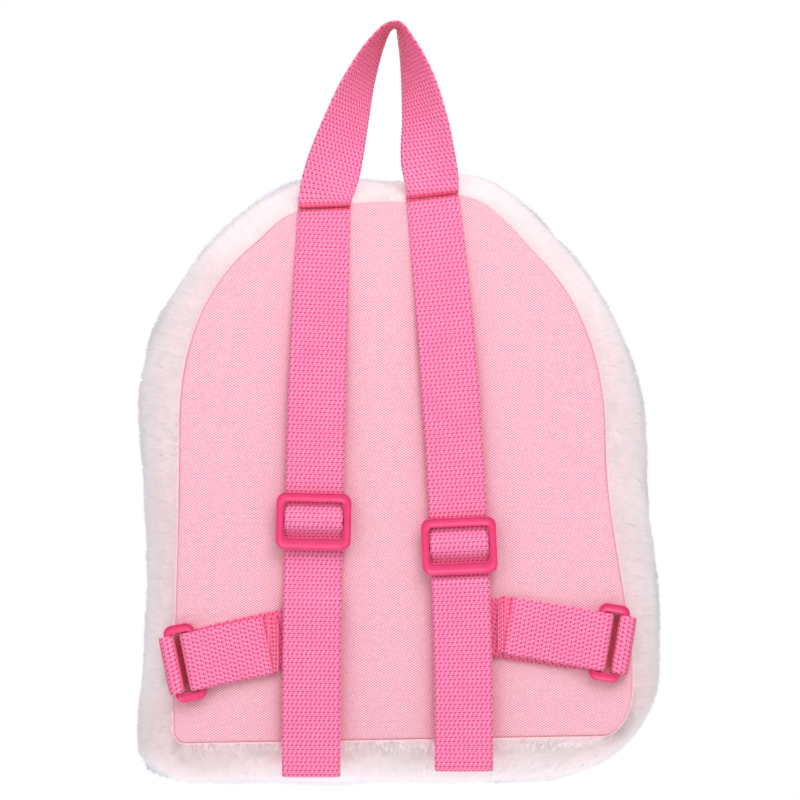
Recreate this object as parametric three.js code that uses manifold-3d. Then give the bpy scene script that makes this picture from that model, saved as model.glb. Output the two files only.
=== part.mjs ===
// A child's small plush backpack, hung up by its grab loop and seen from the side that is worn on the back.
// Millimetres, +Z up, +X to the right of the view, +Y away from it into the bag.
// The origin is where a hook bears, on the underside of the loop's peak.
import * as THREE from "three";
import { mergeVertices } from "three/addons/utils/BufferGeometryUtils.js";
import Module from "manifold-3d";

const wasm = await Module();
wasm.setup();

// Driving sizes
const bagWide = 228.2; // widest, at the belly
const bagHigh = 263.3; // from the top of the plush to its foot
const bagDepth = 82; // from the back seam to the front seam
const loopDrop = 75.6; // from the hook down to the top of the back panel
const topRoll = 9.6; // how far the plush rises above the back panel
const gap = 0.3; // between neighbouring pieces
const sewnGap = 0.5; // between the loop's feet and the straps' tops, which share the top seam
const seamGap = 0.45; // between a panel's rim and the plush side's slanted edge
const webWidth = 25;
const webThick = 1.5;
const webEdge = 0.4; // bevel along the webbing's edges
const panelThick = 1.5;
const panelHem = 2.6; // the panel's hidden face is this much smaller all round
const panelCrown = 2; // how far the stuffed bag pushes its back panel out
const plushThick = 3; // backing and the dense foot of the pile
const frontCrown = 14;
const frontInset = 14; // front seam inside the bag's widest outline
const frontCorner = 26;
const lumpHigh = 0.8; // highest soft lump of the plush

const panelTop = -loopDrop;
const bellyTop = panelTop + topRoll;

// Half outlines from the top centre to the bottom centre. Side +1 is the right half.
// wide, base, waist, crestAt, crestWide and cornerX are shares of bagWide. arch, crestHigh, cornerZ and
// high are shares of bagHigh, with high counted down from the outline's own top. power is the roundness
// of the arch, and the crest a soft swelling of the arch about the place crestAt.
const panelShares = [
  {
    side: 1,
    wide: 0.3996,
    arch: 0.3973,
    power: 2.18,
    base: 0.4509,
    waist: 0,
    crestAt: 0.1494,
    crestWide: 0.124,
    crestHigh: 0.027,
    cornerX: 0.0565,
    cornerZ: 0.0817,
    high: 0.8781,
  },
  {
    side: -1,
    wide: 0.4089,
    arch: 0.3821,
    power: 2.31,
    base: 0.4198,
    waist: 0,
    crestAt: 0.1972,
    crestWide: 0.0719,
    crestHigh: 0.0118,
    cornerX: 0.0219,
    cornerZ: 0.0228,
    high: 0.8902,
  },
];
const bellyShares = [
  {
    side: 1,
    wide: 0.4847,
    arch: 0.4785,
    power: 2.11,
    base: 0.5079,
    waist: 0.0039,
    crestAt: 0.1823,
    crestWide: 0.1823,
    crestHigh: 0.0292,
    cornerX: 0.28,
    cornerZ: 0.1793,
    high: 1,
  },
  {
    side: -1,
    wide: 0.489,
    arch: 0.3798,
    power: 2.05,
    base: 0.4921,
    waist: -0.0158,
    crestAt: 0.2147,
    crestWide: 0.2147,
    crestHigh: 0.0232,
    cornerX: 0.1323,
    cornerZ: 0.0604,
    high: 1,
  },
];
const outlineSteps = { arch: 12, side: 8, corner: 5, bottom: 5 };

// A table of half outlines in millimetres.
function halvesOf(shares, top) {
  return shares.map((row) => ({
    side: row.side,
    power: row.power,
    wide: row.wide * bagWide,
    base: row.base * bagWide,
    waist: row.waist * bagWide,
    crestAt: row.crestAt * bagWide,
    crestWide: row.crestWide * bagWide,
    crestHigh: row.crestHigh * bagHigh,
    cornerX: row.cornerX * bagWide,
    cornerZ: row.cornerZ * bagHigh,
    arch: row.arch * bagHigh,
    bottom: top - row.high * bagHigh,
  }));
}
const panelHalves = halvesOf(panelShares, panelTop);
const bellyHalves = halvesOf(bellyShares, bellyTop);

// Cross-section of the plush side, from the back seam round the bag's widest line to the front seam.
// deep is a share of bagDepth, swell the share of the way from that seam's outline to the widest one.
const backHalf = [
  { deep: 0, swell: 0 },
  { deep: 0.035, swell: 0.3 },
  { deep: 0.09, swell: 0.56 },
  { deep: 0.17, swell: 0.8 },
  { deep: 0.28, swell: 0.95 },
  { deep: 0.4, swell: 1 },
];
const frontHalf = [
  { deep: 0.54, swell: 1 },
  { deep: 0.67, swell: 0.93 },
  { deep: 0.79, swell: 0.77 },
  { deep: 0.89, swell: 0.52 },
  { deep: 0.955, swell: 0.27 },
  { deep: 1, swell: 0 },
];
// Soft lumps of the plush: lobes round the outline, lobes across the depth, a phase in radians, and
// height as a share of lumpHigh.
const lumps = [
  { around: 9, across: 1.3, phase: 0.4, high: 1 },
  { around: 14, across: 2.2, phase: 2.1, high: 0.75 },
  { around: 19, across: 3.1, phase: 4.4, high: 0.5 },
];

// Zip over the top of the bag, in the plush side nearer to its front. It reaches zipColumns outline
// points to either side of the bag's middle, along the line at row zipRow of the section tables.
const zipColumns = 10;
const zipRow = 8.4;
const zip = { slotWide: 7, tapeThick: 1.4, sunk: 0.6, coilWide: 3.2, coilHigh: 1.3 };
const zipSlider = { wide: 5.5, high: 3.2, tabWide: 6.5, tabThick: 1.6, overlap: 0.2 };
// Places of the slider and its pull tab, in outline points past the zip's end or short of it
const sliderPlaces = { bodyFrom: -1.1, bodyTo: -0.2, tabFrom: -0.7, tabTo: 1.6, play: 0.05 };

// Tri-glide strap adjusters
const glide = { wide: 32.2, high: 24.6, topBar: 4.1, bottomBar: 5.2, thick: 2.6, round: 4, bevel: 0.5 };
const glideSlack = 0.4; // webbing's play in the window at each end
const glideBar = { high: 3, thick: 1.4 };
const glideWindowRound = 1.2;

// Rectangular side rings
const ring = { wide: 13.5, high: 33.5, bar: 2.6, endBar: 3.8, round: 3.6, bevel: 0.6 };
const foldPlay = 2.6; // slack of the side strap's fold about the ring's inner bar
const ringWindowRound = 1;

// One row for each side. seam and foot are the two ends of the shoulder strap's middle line, seamSlope
// how steeply the sewn end climbs to the right, bow how far the middle line bows to the right half way,
// and slope how many degrees the side strap climbs in from its ring. sewnEnd is how far the side strap's stitched end lies from the ring's middle, and tabReach
// how far the anchor tab goes out from it. Columns that end in X, and bow, sewnEnd and tabReach, are
// shares of bagWide. Columns that end in Down are shares of bagHigh, down from the panel's top.
const sideShares = [
  {
    name: "left",
    hand: -1,
    seamX: -0.1332,
    seamDown: 0.0131,
    seamSlope: 0.041,
    footX: -0.1578,
    footDown: 0.9435,
    bow: -0.0061,
    glideDown: 0.5241,
    ringX: -0.3953,
    ringDown: 0.7554,
    slope: 11.5,
    sewnEnd: 0.1731,
    tabReach: 0.0377,
  },
  {
    name: "right",
    hand: 1,
    seamX: 0.071,
    seamDown: -0.0057,
    seamSlope: 0.12,
    footX: 0.1302,
    footDown: 0.9339,
    bow: 0.0149,
    glideDown: 0.564,
    ringX: 0.404,
    ringDown: 0.7227,
    slope: 9.5,
    sewnEnd: 0.2059,
    tabReach: 0.0411,
  },
];
const sides = sideShares.map((row) => ({
  name: row.name,
  hand: row.hand,
  slope: row.slope,
  seamSlope: row.seamSlope,
  seamX: row.seamX * bagWide,
  footX: row.footX * bagWide,
  bow: row.bow * bagWide,
  ringX: row.ringX * bagWide,
  sewnEnd: row.sewnEnd * bagWide,
  tabReach: row.tabReach * bagWide,
  seamZ: panelTop - row.seamDown * bagHigh,
  footZ: panelTop - row.footDown * bagHigh,
  glideZ: panelTop - row.glideDown * bagHigh,
  ringZ: panelTop - row.ringDown * bagHigh,
}));
const hiddenLap = 7; // the side strap ends this far past the middle of the strap that covers it
const seamNarrowing = 0.9; // the webbing is drawn in where it is sewn
const narrowingHeight = 80; // and reaches its full width this far below
const footRadius = 1.6; // turn of the shoulder strap's foot, to the middle of its thickness
const footTaper = 14; // the two layers close up over this height above the foot
const strapShift = 3.2; // height over which the strap steps from one layer's depth to the next
const seamLift = 14; // below its seam the shoulder strap lies on the panel this far
const seamRise = 40; // and has lifted halfway to the second layer this far below
const barPlay = 0.4; // webbing passes a bar's edge this far before it bends
const webBend = 8; // length over which webbing bends off a ring's or an adjuster's bar
const loopBelly = 2; // how far the loop's strands stand out from the panel's plane where they turn

// Depths, counted out from the panel: webbing lying on the panel, on one layer and on two.
const layer = webThick + gap;
const lying = -(gap + webThick / 2);
const onOne = lying - layer;
const onTwo = onOne - layer;

const colours = {
  panel: { color: 0xfbbdd0, roughness: 0.85 },
  plush: { color: 0xf4eef1, roughness: 1 },
  webbing: { color: 0xf9689f, roughness: 0.75 },
  plastic: { color: 0xf04a84, roughness: 0.35 },
  zip: { color: 0xf7a3bd, roughness: 0.6 },
};

function material(name) {
  return new THREE.MeshStandardMaterial({ ...colours[name], metalness: 0 });
}

const ease = (s) => s * s * (3 - 2 * s);
const radians = THREE.MathUtils.degToRad;

// The panel's outward crown at a place on it, 0 at its edge.
function crownAt(x, z) {
  const across = x / panelHalves[0].base;
  const bottom = panelHalves[0].bottom;
  const along = (2 * (z - (panelTop + bottom) / 2)) / (panelTop - bottom);
  return panelCrown * Math.max(0, 1 - across ** 2) * Math.max(0, 1 - along ** 4);
}

// Moves a geometry out with the crown of the panel that it lies on.
function drape(geometry) {
  const place = geometry.attributes.position;
  for (let i = 0; i < place.count; i++) {
    place.setY(i, place.getY(i) - crownAt(place.getX(i), place.getZ(i)));
  }
  return geometry;
}

// One half of an outline, from the top centre down to the bottom centre.
function halfOutline(half, top, otherBottom) {
  const points = [];
  const steps = outlineSteps;
  const shape = 2 / half.power;
  for (let i = 0; i <= steps.arch; i++) {
    const angle = (i / steps.arch) * (Math.PI / 2);
    const x = half.wide * Math.sin(angle) ** shape;
    const fromCrest = (x - half.crestAt) / half.crestWide;
    const crest = half.crestHigh * Math.max(0, 1 - fromCrest ** 2) ** 2;
    const z = top - half.arch * (1 - Math.cos(angle) ** shape) + crest;
    points.push(new THREE.Vector2(half.side * x, z));
  }
  const sideTop = top - half.arch;
  const sideFoot = half.bottom + half.cornerZ;
  for (let i = 1; i <= steps.side; i++) {
    const s = i / steps.side;
    const draw = half.waist * Math.sin(Math.PI * s) ** 2;
    const x = half.wide + (half.base - half.wide) * ease(s) + draw;
    points.push(new THREE.Vector2(half.side * x, sideTop + (sideFoot - sideTop) * s));
  }
  for (let i = 1; i <= steps.corner; i++) {
    const angle = (i / steps.corner) * (Math.PI / 2);
    const x = half.base - half.cornerX * (1 - Math.cos(angle));
    points.push(new THREE.Vector2(half.side * x, sideFoot - half.cornerZ * Math.sin(angle)));
  }
  const middle = (half.bottom + otherBottom) / 2;
  for (let i = 1; i <= steps.bottom; i++) {
    const s = i / steps.bottom;
    const x = (half.base - half.cornerX) * (1 - s);
    points.push(new THREE.Vector2(half.side * x, half.bottom + (middle - half.bottom) * s));
  }
  return points;
}

// A whole outline: down the right half and back up the left one.
function outline(halves, top) {
  const [right, left] = halves;
  const down = halfOutline(right, top, left.bottom);
  const up = halfOutline(left, top, right.bottom).reverse();
  return [...down, ...up.slice(1, -1)];
}

// The same outline moved inwards by a distance.
function inset(points, distance) {
  return points.map((point, i) => {
    const before = points[(i + points.length - 1) % points.length];
    const after = points[(i + 1) % points.length];
    const along = after.clone().sub(before).normalize();
    return new THREE.Vector2(point.x + along.y * distance, point.y - along.x * distance);
  });
}

const backSeam = outline(panelHalves, panelTop);
const belly = outline(bellyHalves, bellyTop);
const frontHalves = bellyHalves.map((half) => ({
  ...half,
  wide: half.wide - frontInset,
  arch: half.arch - frontInset,
  base: half.base - frontInset,
  cornerX: frontCorner,
  cornerZ: frontCorner,
  bottom: half.bottom + frontInset,
}));
const frontSeam = outline(frontHalves, bellyTop - frontInset);
const around = belly.length;

// Grid of the plush side's outer surface, one row for each depth, and its outward normals.
function lumpAt(i, deep) {
  const fade = Math.sin(Math.PI * deep) ** 0.7;
  const turn = (2 * Math.PI * i) / around;
  let push = 0;
  for (const lump of lumps) {
    const round = Math.sin(lump.around * turn + lump.phase);
    push += lump.high * round * Math.cos(lump.across * Math.PI * deep + lump.phase);
  }
  return push * fade * lumpHigh;
}
const sectionRows = [
  ...backHalf.map((row) => ({ ...row, seam: backSeam })),
  ...frontHalf.map((row) => ({ ...row, seam: frontSeam })),
];
function sideGrid() {
  const smooth = sectionRows.map((row) =>
    belly.map((wide, i) => {
      const flat = row.seam[i].clone().lerp(wide, row.swell);
      return new THREE.Vector3(flat.x, row.deep * bagDepth, flat.y);
    }),
  );
  const normals = gridNormals(smooth);
  const lumpy = smooth.map((row, j) =>
    row.map((point, i) => {
      const push = lumpAt(i, sectionRows[j].deep);
      return point.clone().addScaledVector(normals[j][i], push);
    }),
  );
  return { points: lumpy, normals };
}
function gridNormals(rows) {
  return rows.map((row, j) =>
    row.map((_, i) => {
      const along = row[(i + 1) % around].clone().sub(row[(i + around - 1) % around]);
      const next = rows[Math.min(j + 1, rows.length - 1)][i];
      const deeper = next.clone().sub(rows[Math.max(j - 1, 0)][i]);
      return along.cross(deeper).normalize();
    }),
  );
}
const side = sideGrid();

// A point on, outside (+) or inside (-) the plush side at fractions of its grid.
function sidePoint(i, j, out) {
  const i0 = Math.floor(i);
  const j0 = Math.min(Math.floor(j), sectionRows.length - 2);
  const s = i - i0;
  const t = j - j0;
  const a = ((i0 % around) + around) % around;
  const b = (a + 1) % around;
  const blend = (grid) => {
    const near = grid[j0][a].clone().lerp(grid[j0][b], s);
    const far = grid[j0 + 1][a].clone().lerp(grid[j0 + 1][b], s);
    return near.lerp(far, t);
  };
  return blend(side.points).addScaledVector(blend(side.normals).normalize(), out);
}

// Geometry from vertices and triangles
function meshOf(vertices, triangles) {
  const geometry = new THREE.BufferGeometry();
  const numbers = vertices.flatMap((vertex) => vertex.toArray());
  geometry.setAttribute("position", new THREE.Float32BufferAttribute(numbers, 3));
  geometry.setIndex(triangles.flat());
  geometry.computeVertexNormals();
  return geometry;
}

// A closed solid through rings of as many points each, with flat ends, or a closed circuit of rings.
function loft(rings, circuit = false) {
  const count = rings[0].length;
  const triangles = [];
  const spans = circuit ? rings.length : rings.length - 1;
  for (let k = 0; k < spans; k++) {
    const here = k * count;
    const next = ((k + 1) % rings.length) * count;
    for (let i = 0; i < count; i++) {
      const j = (i + 1) % count;
      triangles.push([here + i, here + j, next + i], [here + j, next + j, next + i]);
    }
  }
  if (!circuit) {
    const last = (rings.length - 1) * count;
    for (let i = 1; i < count - 1; i++) {
      triangles.push([0, i + 1, i], [last, last + i, last + i + 1]);
    }
  }
  return meshOf(rings.flat(), triangles);
}

function flipped(geometry) {
  const index = geometry.index.array;
  for (let i = 0; i < index.length; i += 3) {
    [index[i + 1], index[i + 2]] = [index[i + 2], index[i + 1]];
  }
  geometry.computeVertexNormals();
  return geometry;
}

// Joins and cuts
function toSolid(geometry) {
  const bare = geometry.clone();
  bare.deleteAttribute("normal");
  bare.deleteAttribute("uv");
  const merged = mergeVertices(bare, 1e-4);
  return new wasm.Manifold(
    new wasm.Mesh({
      numProp: 3,
      vertProperties: new Float32Array(merged.attributes.position.array),
      triVerts: new Uint32Array(merged.index.array),
    }),
  );
}
function fromSolid(solid) {
  const mesh = solid.getMesh();
  const geometry = new THREE.BufferGeometry();
  const places = new Float32Array(mesh.vertProperties);
  const corners = new Uint32Array(mesh.triVerts);
  geometry.setAttribute("position", new THREE.BufferAttribute(places, 3));
  geometry.setIndex(new THREE.BufferAttribute(corners, 1));
  geometry.computeVertexNormals();
  return geometry;
}

// A block that follows the plush side between two grid columns and two rows.
function sideBlock(iFrom, iTo, jFrom, jTo, outer, inner) {
  const rings = [];
  const steps = Math.ceil(iTo - iFrom);
  for (let k = 0; k <= steps; k++) {
    const i = iFrom + ((iTo - iFrom) * k) / steps;
    rings.push([
      sidePoint(i, jFrom, inner),
      sidePoint(i, jTo, inner),
      sidePoint(i, jTo, outer),
      sidePoint(i, jFrom, outer),
    ]);
  }
  return loft(rings);
}

// Rows of the grid for a given width in millimetres, centred on the zip's line.
const rowPitch = side.points[9][0].distanceTo(side.points[8][0]);
function zipRows(width) {
  const half = width / 2 / rowPitch;
  return [zipRow - half, zipRow + half];
}

function plushSide() {
  const outer = side.points;
  const inner = outer.map((row, j) =>
    row.map((point, i) => point.clone().addScaledVector(side.normals[j][i], -plushThick)),
  );
  const rings = [];
  for (let i = 0; i < around; i++) {
    const outside = outer.map((row) => row[i]);
    const inside = inner.map((row) => row[i]).reverse();
    rings.push([...inside, ...outside].reverse());
  }
  const band = loft(rings, true);
  const [jFrom, jTo] = zipRows(zip.slotWide);
  const slot = sideBlock(-zipColumns, zipColumns, jFrom, jTo, plushThick, -2 * plushThick);
  return fromSolid(toSolid(band).subtract(toSolid(slot)));
}

function zipClosure() {
  const reach = zipColumns - sliderPlaces.play;
  const [tapeFrom, tapeTo] = zipRows(zip.slotWide - 2 * gap);
  const [coilFrom, coilTo] = zipRows(zip.coilWide);
  const face = -zip.sunk;
  const back = face - zip.tapeThick;
  const coilFoot = face - zip.tapeThick / 2;
  const tape = toSolid(sideBlock(-reach, reach, tapeFrom, tapeTo, face, back));
  const coil = toSolid(sideBlock(-reach, reach, coilFrom, coilTo, face + zip.coilHigh, coilFoot));
  // The slider sits at the right end, its pull tab hanging down from it
  const [bodyFrom, bodyTo] = zipRows(zipSlider.wide);
  const [tabFrom, tabTo] = zipRows(zipSlider.tabWide);
  const places = sliderPlaces;
  const top = zipSlider.high;
  const tabTop = top + zipSlider.tabThick;
  const tabFoot = top - zipSlider.overlap;
  const body = sideBlock(reach + places.bodyFrom, reach + places.bodyTo, bodyFrom, bodyTo, top, face);
  const tab = sideBlock(reach + places.tabFrom, reach + places.tabTo, tabFrom, tabTo, tabTop, tabFoot);
  return fromSolid(tape.add(coil).add(toSolid(body)).add(toSolid(tab)));
}

// A closed plate with a bevelled rim: rings of an outline shrinking to its middle, domed by a function.
// facing is -1 for a plate whose outer face looks to -Y and +1 for one that looks to +Y.
function domedPlate({ rim, rimInset, hiddenInset, faceY, facing, thick, dome, shares }) {
  const outer = inset(rim, rimInset);
  const inner = inset(rim, rimInset + hiddenInset);
  const hiddenY = faceY - facing * thick;
  const middle = new THREE.Vector2(0, (bellyTop + bellyHalves[0].bottom) / 2);
  const vertices = [];
  const triangles = [];
  const count = rim.length;
  const ringOf = (points, share, y) =>
    points.map((point) => {
      const flat = middle.clone().lerp(point, share);
      return new THREE.Vector3(flat.x, y + facing * dome(flat.x, flat.y, share), flat.y);
    });
  const rings = [
    ...shares.map((share) => ringOf(outer, share, faceY)).reverse(),
    ...shares.map((share) => ringOf(inner, share, hiddenY)),
  ];
  // The rings run from the middle of the face to its rim, over the rim, and back to the middle behind
  const rise = facing * dome(middle.x, middle.y, 0);
  vertices.push(new THREE.Vector3(middle.x, faceY + rise, middle.y));
  rings.forEach((points) => vertices.push(...points));
  vertices.push(new THREE.Vector3(middle.x, hiddenY + rise, middle.y));
  const last = vertices.length - 1;
  for (let i = 0; i < count; i++) {
    const j = (i + 1) % count;
    triangles.push([0, 1 + i, 1 + j]);
    for (let k = 0; k < rings.length - 1; k++) {
      const here = 1 + k * count;
      const next = here + count;
      triangles.push([here + i, next + i, here + j], [here + j, next + i, next + j]);
    }
    const end = 1 + (rings.length - 1) * count;
    triangles.push([end + i, last, end + j]);
  }
  const plate = meshOf(vertices, triangles);
  return facing < 0 ? flipped(plate) : plate;
}

function backPanel() {
  return domedPlate({
    rim: backSeam,
    rimInset: seamGap,
    hiddenInset: panelHem,
    faceY: 0,
    facing: -1,
    thick: panelThick,
    dome: crownAt,
    shares: [1, 0.8, 0.55, 0.28],
  });
}

function frontPanel() {
  const flatness = 2.4; // how evenly the front's crown spreads over it
  const hem = 1.6 * plushThick;
  return domedPlate({
    rim: frontSeam,
    rimInset: seamGap,
    hiddenInset: hem,
    faceY: bagDepth,
    facing: 1,
    thick: plushThick,
    dome: (x, z, share) => frontCrown * (1 - share ** flatness),
    shares: [1, 0.93, 0.8, 0.62, 0.42, 0.2],
  });
}

// Webbing along stations: each has a place, the direction across the web, and its width. Where a station's
// square is under 1 the web is cut on a slant there.
function webbing(stations) {
  const rings = stations.map((station, k) => {
    const before = stations[Math.max(k - 1, 0)].at;
    const after = stations[Math.min(k + 1, stations.length - 1)].at;
    const along = after.clone().sub(before).normalize();
    const across = station.across.clone();
    const square = station.square ?? 1;
    across.addScaledVector(along, -across.dot(along) * square).normalize();
    const face = along.clone().cross(across).normalize();
    const half = station.width / 2;
    const thin = webThick / 2;
    const edge = webEdge;
    const section = [
      [-half, 0],
      [-half + edge, -thin],
      [half - edge, -thin],
      [half, 0],
      [half - edge, thin],
      [-half + edge, thin],
    ];
    return section.map(([u, v]) => {
      const corner = station.at.clone();
      return corner.addScaledVector(across, u).addScaledVector(face, v);
    });
  });
  return loft(rings);
}

// A smooth route through chosen places, as a list of its points.
function route(places, perSpan) {
  const curve = new THREE.CatmullRomCurve3(places, false, "centripetal");
  return curve.getPoints((places.length - 1) * perSpan);
}

// Half a turn in the plane of depth and travel, as places on an arc about its middle.
function turnAbout(travel, depth, radius, from, to, steps) {
  const places = [];
  for (let k = 0; k <= steps; k++) {
    const angle = radians(from + ((to - from) * k) / steps);
    places.push([travel + radius * Math.cos(angle), depth + radius * Math.sin(angle)]);
  }
  return places;
}

// The shoulder strap's middle line: its place and its lean across the panel at a height.
function strapLine(row, z) {
  const top = row.seamZ;
  const s = THREE.MathUtils.clamp((top - z) / (top - row.footZ), -0.1, 1.1);
  const bow = 4 * row.bow;
  const x = row.seamX + (row.footX - row.seamX) * s + bow * s * (1 - s);
  const lean = -(row.footX - row.seamX + bow * (1 - 2 * s)) / (top - row.footZ);
  return { x, lean };
}

// Shoulder strap: down from the seam, through the adjuster, on down, round its foot and back up behind.
function shoulderStrap(row) {
  const z = row.glideZ;
  const windowTop = glide.high / 2 - glide.topBar;
  const windowFoot = glide.high / 2 - glide.bottomBar;
  const overBar = onOne - webThick - 2 * gap - glideBar.thick;
  const foot = row.footZ + footRadius + webThick / 2;
  const footDepth = onTwo + footRadius;
  // The stretch under which the side strap passes, a little taller than its slanted edges
  const slant = Math.tan(radians(row.slope));
  const underMiddle = row.ringZ + Math.abs(row.ringX - row.footX) * slant;
  const underHalf = (webWidth / 2) * (1 + slant) + 3 * gap;
  const underTop = underMiddle + underHalf;
  const underFoot = underMiddle - underHalf;
  const barEdge = glideBar.high / 2 + gap;
  const rows = [
    [row.seamZ - sewnGap / 2, lying],
    [row.seamZ - seamLift, lying],
    [row.seamZ - seamRise, (lying + onOne) / 2],
    [z + seamRise, onOne],
    [z + windowTop + webBend, onOne],
    [z + windowTop - barPlay, onOne],
    [z + barEdge, overBar],
    [z - barEdge, overBar],
    [z - windowFoot + barPlay, onOne],
    [underTop + strapShift, onOne],
    [underTop, onTwo],
    [underMiddle, onTwo],
    [underFoot, onTwo],
    [foot + footTaper, onTwo],
    ...turnAbout(foot, footDepth, footRadius, -90, -270, 4),
    [foot + footTaper, (onOne + lying) / 2],
    [underFoot, onOne],
    [underMiddle, onOne],
    [underTop, onOne],
    [underTop + strapShift, lying],
    [underTop + 3 * strapShift, lying],
    [z, lying],
    [z + glideBar.high / 2 + 2 * webThick, lying],
  ];
  const places = rows.map(([up, depth]) => new THREE.Vector3(0, depth, up));
  const stations = route(places, 2).map((at) => {
    const { x, lean } = strapLine(row, at.z);
    const below = THREE.MathUtils.clamp((row.seamZ - at.z) / narrowingHeight, 0, 1);
    const drawnIn = 1 - below;
    const width = webWidth * (1 - (1 - seamNarrowing) * drawnIn);
    const square = ease(THREE.MathUtils.clamp((row.seamZ - at.z) / seamLift, 0, 1));
    const climb = THREE.MathUtils.lerp(row.seamSlope, -lean, square);
    return { at: at.setX(x), across: new THREE.Vector3(1, 0, climb), width, square };
  });
  return drape(webbing(stations));
}

// Local frame of a side's ring: travel runs from the ring's middle in towards the shoulder strap.
function ringFrame(row) {
  const slope = radians(row.slope);
  const inwards = new THREE.Vector3(-row.hand * Math.cos(slope), 0, Math.sin(slope));
  const up = new THREE.Vector3(row.hand * Math.sin(slope), 0, Math.cos(slope));
  const middle = new THREE.Vector3(row.ringX, 0, row.ringZ);
  const place = ([travel, depth]) => middle.clone().addScaledVector(inwards, travel).setY(depth);
  return { up, place };
}
const barMiddle = ring.wide / 2 - ring.bar / 2;
const barDepth = -(gap + webThick + gap + ring.bar / 2);
const wrapRadius = ring.bar / 2 + gap + webThick / 2;

// Side strap: from under the shoulder strap out to the ring, round its inner bar and back to its sewn end.
function sideStrap(row) {
  const { up, place } = ringFrame(row);
  const hiddenEnd = Math.abs(row.ringX - row.footX) + hiddenLap;
  const rows = [
    [hiddenEnd, lying],
    [hiddenEnd / 2, lying],
    [barMiddle + webBend, lying],
    ...turnAbout(barMiddle - foldPlay, barDepth, wrapRadius, 90, 270, 8),
    [barMiddle, barDepth - wrapRadius],
    [barMiddle + webBend, onOne - webThick / 2],
    [barMiddle + 2 * webBend, onOne],
    [barMiddle / 2 + webBend + row.sewnEnd / 2, onOne],
    [row.sewnEnd, onOne],
  ];
  const stations = route(rows.map(place), 2).map((at) => ({ at, across: up, width: webWidth }));
  return drape(webbing(stations));
}

// Anchor tab: two layers from the side seam, folded round the ring's outer bar.
function anchorTab(row) {
  const { up, place } = ringFrame(row);
  const rows = [
    [-row.tabReach + webThick, lying],
    [-barMiddle, lying],
    ...turnAbout(-barMiddle, barDepth, wrapRadius, 78, -90, 8),
    [-ring.wide / 2, barDepth - wrapRadius],
    [gap - row.tabReach, barDepth - 3 * gap],
    [-row.tabReach, onOne + webThick / 3],
  ];
  const stations = route(rows.map(place), 2).map((at) => ({ at, across: up, width: webWidth }));
  return drape(webbing(stations));
}

// A flat plate with round corners and one window, in the X-Z plane, its back face at Y 0.
function framePlate(wide, high, round, window, thick, bevel) {
  const roundedRect = (path, w, h, r, midZ) => {
    const [x, z] = [w / 2, h / 2];
    path.moveTo(-x + r, midZ - z);
    path.lineTo(x - r, midZ - z);
    path.absarc(x - r, midZ - z + r, r, -Math.PI / 2, 0);
    path.lineTo(x, midZ + z - r);
    path.absarc(x - r, midZ + z - r, r, 0, Math.PI / 2);
    path.lineTo(-x + r, midZ + z);
    path.absarc(-x + r, midZ + z - r, r, Math.PI / 2, Math.PI);
    path.lineTo(-x, midZ - z + r);
    path.absarc(-x + r, midZ - z + r, r, Math.PI, Math.PI * 1.5);
    return path;
  };
  const trim = 2 * bevel;
  const shape = roundedRect(new THREE.Shape(), wide - trim, high - trim, round - bevel, 0);
  const [across, up] = [window.wide + trim, window.high + trim];
  const hole = roundedRect(new THREE.Path(), across, up, window.round + bevel, window.midZ);
  shape.holes.push(hole);
  const geometry = new THREE.ExtrudeGeometry(shape, {
    depth: thick - 2 * bevel,
    bevelThickness: bevel,
    bevelSize: bevel,
    bevelSegments: 1,
    curveSegments: 4,
  });
  return geometry.rotateX(Math.PI / 2).translate(0, -bevel, 0);
}

function adjuster(row) {
  const window = {
    wide: webWidth + 2 * glideSlack,
    high: glide.high - glide.topBar - glide.bottomBar,
    midZ: (glide.bottomBar - glide.topBar) / 2,
    round: glideWindowRound,
  };
  const frame = framePlate(glide.wide, glide.high, glide.round, window, glide.thick, glide.bevel);
  const barLong = (window.wide + glide.wide) / 2;
  const bar = new THREE.BoxGeometry(barLong, glideBar.thick, glideBar.high);
  bar.translate(0, -glideBar.thick / 2, 0);
  const joined = fromSolid(toSolid(frame).add(toSolid(bar)));
  const backFace = onOne - webThick / 2 - gap;
  const { x, lean } = strapLine(row, row.glideZ);
  joined.rotateY(Math.atan(lean)).translate(x, backFace, row.glideZ);
  return drape(joined);
}

function sideRing(row) {
  const window = {
    wide: ring.wide - 2 * ring.bar,
    high: ring.high - 2 * ring.endBar,
    midZ: 0,
    round: ringWindowRound,
  };
  const plate = framePlate(ring.wide, ring.high, ring.round, window, ring.bar, ring.bevel);
  plate.rotateY(radians(row.hand * row.slope));
  plate.translate(row.ringX, barDepth + ring.bar / 2, row.ringZ);
  return drape(plate);
}

// Grab loop: both ends sewn flat in the top seam, each strand turning a quarter round to lie over the hook.
// across is a share of the way from the hook's line to that end's seam, up a share of the way from the
// seam to the hook, turn in degrees and wide a share of the webbing's width.
const loopRows = [
  { across: -1, up: 0, turn: 0, wide: 0.9 },
  { across: -0.98, up: 0.07, turn: 0, wide: 0.92 },
  { across: -0.87, up: 0.22, turn: 16, wide: 0.98 },
  { across: -0.7, up: 0.45, turn: 40, wide: 1 },
  { across: -0.51, up: 0.68, turn: 58, wide: 1 },
  { across: -0.25, up: 0.895, turn: 76, wide: 1 },
  { across: -0.07, up: 0.985, turn: 87, wide: 1 },
  { across: 0.06, up: 0.99, turn: 93, wide: 1 },
  { across: 0.31, up: 0.88, turn: 106, wide: 1 },
  { across: 0.59, up: 0.68, turn: 124, wide: 1 },
  { across: 0.78, up: 0.45, turn: 140, wide: 1 },
  { across: 0.88, up: 0.22, turn: 164, wide: 0.98 },
  { across: 0.99, up: 0.07, turn: 180, wide: 0.92 },
  { across: 1, up: 0, turn: 180, wide: 0.9 },
];
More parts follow.
